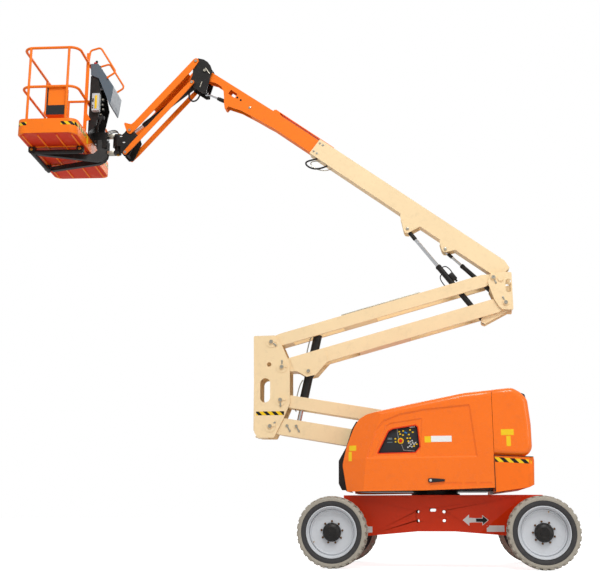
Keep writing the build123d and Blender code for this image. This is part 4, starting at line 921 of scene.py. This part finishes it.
FRONT_HOSE = (
    (-2.54, -0.05, 0.006), (-2.60, -0.052, -0.06), (-2.655, -0.05, -0.118),
    (-2.58, -0.045, -0.152), (-2.46, -0.04, -0.11), (-2.40, -0.03, 0.004),
)
FRONT_LEAD = (
    (-2.50, -0.02, 0.006), (-2.58, -0.022, -0.04), (-2.61, -0.02, -0.085),
    (-2.52, -0.02, -0.12), (-2.38, -0.02, -0.07), (-2.34, -0.02, 0.004),
)
LINK_RAIL = ((-0.98, -0.096, 2.689), (-0.70, -0.096, 2.763), (-0.40, -0.096, 2.843), (-0.10, -0.096, 2.922))
hose("base_front_hose", "base_boom_body", all_in(BOOM, *FRONT_HOSE), 0.010, hose_rubber)
hose("base_front_lead", "base_boom_body", all_in(BOOM, *FRONT_LEAD), 0.006, zinc_plate)
hose("link_top_rail", "upper_link_body", LINK_RAIL, 0.008, zinc_plate)

# ---- Knuckle and fly section ----

KNUCKLE_BARS = (((-2.609, 5.811), (-2.556, 5.727)), ((-2.649, 5.633), (-2.673, 5.561)))
KNUCKLE_HOSE = (
    (-2.80, -0.05, 5.56), (-2.83, -0.055, 5.48), (-2.80, -0.06, 5.41),
    (-2.74, -0.06, 5.39), (-2.69, -0.055, 5.44), (-2.67, -0.05, 5.53),
)
knuckle, head_skin = bmesh.new(), skin_of("boom_head")
for place in BOTH_SIDES:
    lift = Vector((0, 0.004 * outside(place), 0))
    for bar in KNUCKLE_BARS:
        start, end = (met(head_skin, x, z, place) + lift for x, z in bar)
        rod(knuckle, start, end, 0.0075, 12, chamfer=0.002)
fit("knuckle_keepers", knuckle, "head", "chrome", zinc_plate)
hose("knuckle_hose", "head", KNUCKLE_HOSE, 0.010, hose_rubber)

HOLE_PLUG = [(0, -0.001), (0.013, -0.001), (0.013, 0.001), (0.010, 0.0014), (0, 0.0014)]
FLY_BOLT = [(0, -0.001), (0.016, -0.001), (0.016, 0.004), (0.012, 0.006), (0, 0.006)]
plugs, fly_skin = bmesh.new(), skin_of("fly_boom")
for place in BOTH_SIDES:
    for x, z in ((-2.216, 5.415), (-2.174, 5.379)):
        turned(plugs, HOLE_PLUG, facing(met(fly_skin, x, z, place), place), 20)
    turned(plugs, FLY_BOLT, facing(met(fly_skin, -2.061, 5.273, place), place), 24, 1)
fit("fly_plugs", plugs, "fly_boom_body", "orange", black_gasket, zinc_plate)

# ---- Cylinders ----

# Each starts at its barrel's pin and runs towards its rod.
LIFT_PIN, LIFT_WAY = Vector((0.586922, -0.033, 2.58992)), Vector((-0.60063, 0, 0.79952)).normalized()
MASTER_PIN, MASTER_WAY = Vector((0.689922, 0.038, 2.92992)), Vector((-0.71312, 0, 0.70104)).normalized()
# The tower cylinder hangs from its barrel's pin. Its way points up, past the pin.
TOWER_PIN, TOWER_WAY = Vector((-1.350741, -0.02, 2.0671)), Vector((0.21829, 0, 0.97588)).normalized()


def sleeve_and_gland(name, start, way, black_from, black_to, sleeve_radius, barrel_radius, gland):
    """A cylinder's black rod sleeve, and the ring at its gland. Lengths are from the barrel's pin."""
    shape = bmesh.new()
    rod(shape, start + way * black_from, start + way * black_to, sleeve_radius, 32, chamfer=0.003)
    fit(name + "_rod_sleeve", shape, name + "_rod", "chrome", black_powder)
    ring = bmesh.new()
    turn = way.to_track_quat("Z", "Y").to_matrix().to_4x4()
    r = barrel_radius
    profile = [
        (r - 0.003, 0), (r + 0.003, 0.002), (r + 0.003, 0.010), (r, 0.012),
        (r + 0.002, 0.014), (r + 0.002, 0.024), (r - 0.004, 0.0275), (r - 0.003, 0),
    ]
    turned(ring, profile, Matrix.Translation(start + way * (gland - 0.030)) @ turn, 40)
    fit(name + "_gland_ring", welded(ring), name + "_barrel", "black", black_powder)


def beside(start, way, steps):
    """Guides of a pipe that runs beside a cylinder: (distance along it, distance off it)."""
    off = Vector((-way.z, 0, way.x))
    return [start + way * along + off * away for along, away in steps]


sleeve_and_gland("lift", LIFT_PIN, LIFT_WAY, 1.200, 1.310, 0.0235, 0.031, 0.805)
sleeve_and_gland("master", MASTER_PIN, MASTER_WAY, 0.590, 0.655, 0.0195, 0.025, 0.455)

LIFT_FEED = ((0.70, 0.028), (0.70, 0.070), (0.60, 0.092), (0.48, 0.070), (0.46, 0.028))
LIFT_RETURN = ((0.76, -0.028), (0.76, -0.066), (0.70, -0.085), (0.65, -0.080), (0.62, -0.060))
hose("lift_feed_hose", "lift_barrel", beside(LIFT_PIN, LIFT_WAY, LIFT_FEED), 0.006, hose_rubber)
hose("lift_return_hose", "lift_barrel", beside(LIFT_PIN, LIFT_WAY, LIFT_RETURN), 0.006, hose_rubber)

block = bmesh.new()
lift_frame = Matrix.Translation(LIFT_PIN) @ Matrix.Rotation(math.atan2(-LIFT_WAY.z, LIFT_WAY.x), 4, "Y")
brick(block, (0.56, -0.026, -0.080), (0.65, 0.026, -0.026), lift_frame, edge=0.004)
rod(block, *all_in(lift_frame, (0.58, 0, -0.056), (0.535, 0, -0.056)), 0.012, 6)
fit("lift_valve_block", block, "lift_barrel", "black", black_powder)

TOWER_NEAR = ((0.10, 0.060), (0.14, 0.078), (0.28, 0.078), (0.40, 0.074), (0.42, 0.055))
TOWER_LOW = ((-0.10, 0.052), (-0.14, 0.078), (-0.30, 0.082), (-0.44, 0.078), (-0.46, 0.050))
hose("tower_pipe_near", "tower_barrel", beside(TOWER_PIN, TOWER_WAY, TOWER_NEAR), 0.007, zinc_plate)
hose("tower_pipe_low", "tower_barrel", beside(TOWER_PIN, TOWER_WAY, TOWER_LOW), 0.006, zinc_plate)

# ---- Platform ----

# The platform's own frame stands on its rotator's axis, turned by 5 degrees.
DECK = Matrix.Translation((-3.7, 0, 0)) @ Matrix.Rotation(math.radians(5), 4, "Z")
END_WALL = DECK @ Matrix.Rotation(math.radians(90), 4, "Z")
LAID_FLAT = DECK @ Matrix(((1, 0, 0, 0), (0, 0, 1, 0), (0, 1, 0, 0), (0, 0, 0, 1)))
FLOOR_Z, TOE_TOP = 4.796, 4.971
TAPE_LOW, TAPE_HIGH = TOE_TOP - 0.082, TOE_TOP - 0.040
DECK_EDGE = [
    (-1.010, -0.625), (-0.925, -0.708), (-0.415, -0.708), (-0.330, -0.625),
    (-0.330, 0.729), (-0.415, 0.812), (-0.925, 0.812), (-1.010, 0.729),
]
# A thin sheet under the floor, painted redder as painted shade under the deck, with pale worn patches.
under = bmesh.new()
slab(under, DECK_EDGE, FLOOR_Z - 0.0016, FLOOR_Z + 0.0004, LAID_FLAT)
fit("deck_underside_shade_sheet", under, "platform", "orange", underside_shade_and_wear)

TOE_TAPES = (
    ("toe_tape_near", DECK, ((-1.012, -0.900), (-0.500, -0.345)), hazard_side),
    ("toe_tape_end", END_WALL, ((-0.700, -0.290), (0.560, 0.790)), hazard_end),
)
floor_skin = skin_of("platform_floor")
for name, place, runs, finish in TOE_TAPES:
    tapes = bmesh.new()
    for start, end in runs:
        pressed_on(tapes, patch(start, end, TAPE_LOW, TAPE_HIGH), floor_skin, place, grid=0.012)
    fit(name, tapes, "platform", "orange", finish)
signs = bmesh.new()
pressed_on(signs, patch(-0.270, -0.215, TAPE_LOW - 0.045, TAPE_HIGH + 0.010), floor_skin, END_WALL)
fit("toe_label", signs, "platform", "orange", yellow_vinyl)

boot, bin_skin = bmesh.new(), skin_of("storage_box")
for outline in (patch(-0.6935, -0.4745, 5.0305, 5.148), patch(-0.6935, -0.676, 5.148, 5.378)):
    pressed_on(boot, outline, bin_skin, DECK, height=0.003)
fit("storage_box_boot", boot, "platform", "storage", dark_plastic)

SOCKET_WALL = -0.311
sockets = bmesh.new()
brick(sockets, (-0.232, -0.318, 5.262), (-0.206, SOCKET_WALL, 5.432), DECK, material=1, edge=0.001)
brick(sockets, (-0.262, -0.322, 5.350), (-0.246, SOCKET_WALL, 5.392), DECK, edge=0.003)
for z in (5.300, 5.272):
    ends = all_in(DECK, (-0.254, SOCKET_WALL, z), (-0.254, -0.326, z))
    rod(sockets, *ends, 0.007, 16, chamfer=0.002)
fit("socket_box_face", sockets, "platform", "box", dark_plastic, yellow_vinyl)

# Valves on the near side of the console's stand: (x, z, radius).
VALVES = ((-0.148, 5.395, 0.020), (-0.150, 5.330, 0.016), (-0.140, 5.270, 0.018), (-0.165, 5.205, 0.014))
LOOM = (
    (-0.150, -0.255, 5.200), (-0.145, -0.285, 5.150), (-0.170, -0.290, 5.090),
    (-0.200, -0.270, 5.040), (-0.215, -0.200, 5.010),
)
valves = bmesh.new()
for x, z, r in VALVES:
    rod(valves, *all_in(DECK, (x, -0.262, z), (x, -0.245, z)), r, 24, chamfer=0.004)
    rod(valves, *all_in(DECK, (x, -0.269, z), (x, -0.261, z)), r * 0.62, 6, material=1, chamfer=0.001)
brick(valves, (-0.205, -0.262, 5.140), (-0.120, -0.240, 5.185), DECK, edge=0.004)
fit("console_valves", valves, "platform", "black", dark_plastic, zinc_plate)
hose("console_loom", "platform", all_in(DECK, *LOOM), 0.011, hose_rubber)
for k, y in enumerate((-0.035, 0.0, 0.035)):
    along = ((-0.150, y, 5.062), (-0.110, y, 5.085), (-0.050, y, 5.105))
    down = ((-0.006, y * 0.6, 5.082), (-0.004, y * 0.4, 5.044))
    finish = zinc_plate if k == 1 else hose_rubber
    hose(f"rotator_cable_{k}", "platform", all_in(DECK, *along, *down), 0.0055, finish)

STICK = [
    (0, -0.002), (0.026, -0.002), (0.024, 0.006), (0.012, 0.014), (0.007, 0.018),
    (0.007, 0.048), (0.014, 0.054), (0.017, 0.066), (0.014, 0.080), (0, 0.084),
]
CONSOLE_STOP = [
    (0, -0.001), (0.022, -0.001), (0.022, 0.008), (0.010, 0.009),
    (0.010, 0.018), (0.019, 0.020), (0.017, 0.030), (0, 0.032),
]
desk = bmesh.new()
desk_top = DECK @ Matrix.Translation((-0.272, -0.07, 5.867))
for y in (-0.11, 0.02, 0.12):
    turned(desk, STICK, desk_top @ Matrix.Translation((0, y, 0)), 24)
turned(desk, CONSOLE_STOP, desk_top @ Matrix.Translation((0, -0.165, 0)), 24, 1)
fit("console_sticks", desk, "platform", "console", dark_plastic, red_plastic)

sleeves = bmesh.new()
for z in (5.026, 4.808):
    brick(sleeves, (-0.128, -0.0425, z - 0.0195), (-0.046, 0.0425, z + 0.0195), DECK, edge=0.004)
fit("rotator_sleeves", sleeves, "platform", "black", zinc_plate)

AXIS_CAP = [(0, -0.002), (0.020, -0.002), (0.020, 0.010), (0.014, 0.014), (0, 0.014)]
AXIS_NUT = [(0, 0.002), (0.020, 0.002), (0.020, -0.012), (0.014, -0.016), (0, -0.016)]
FORK_BOLT = [(0, -0.004), (0.018, -0.004), (0.018, 0.010), (0.013, 0.014), (0, 0.014)]
bolts = bmesh.new()
turned(bolts, AXIS_CAP, DECK @ Matrix.Translation((0, 0, 5.044)), 28)
turned(bolts, AXIS_NUT, DECK @ Matrix.Translation((0, 0, 4.790)), 28)
for x in (-0.960, -0.380):
    turned(bolts, FORK_BOLT, DECK @ facing((x, -0.330, 4.748)), 24)
fit("platform_bolts", bolts, "platform", "black", brass_valve)

plates, bracket_skin = bmesh.new(), skin_of("jib_bracket")
for x, z in ((-3.640, 4.985), (-3.600, 4.905)):
    for place in BOTH_SIDES:
        pressed_on(plates, patch(x - 0.014, x + 0.014, z - 0.006, z + 0.006), bracket_skin, place)
fit("bracket_labels", plates, "bracket", "black", white_vinyl)

# ---- Rounded edges ----


def soften(node, width):
    """Small rounded edges on a welded, folded or moulded solid."""
    weld = node.modifiers.new("weld", "WELD")
    weld.merge_threshold = 0.00002
    edge = node.modifiers.new("edge", "BEVEL")
    edge.width = width
    edge.segments = 2
    edge.limit_method = "ANGLE"
    edge.angle_limit = math.radians(28)
    edge.harden_normals = False


for part in frame["record"]["subparts"]:
    if part["material_slot"] in SLOT_EDGE:
        soften(frame["nodes"][part["node"]], SLOT_EDGE[part["material_slot"]])
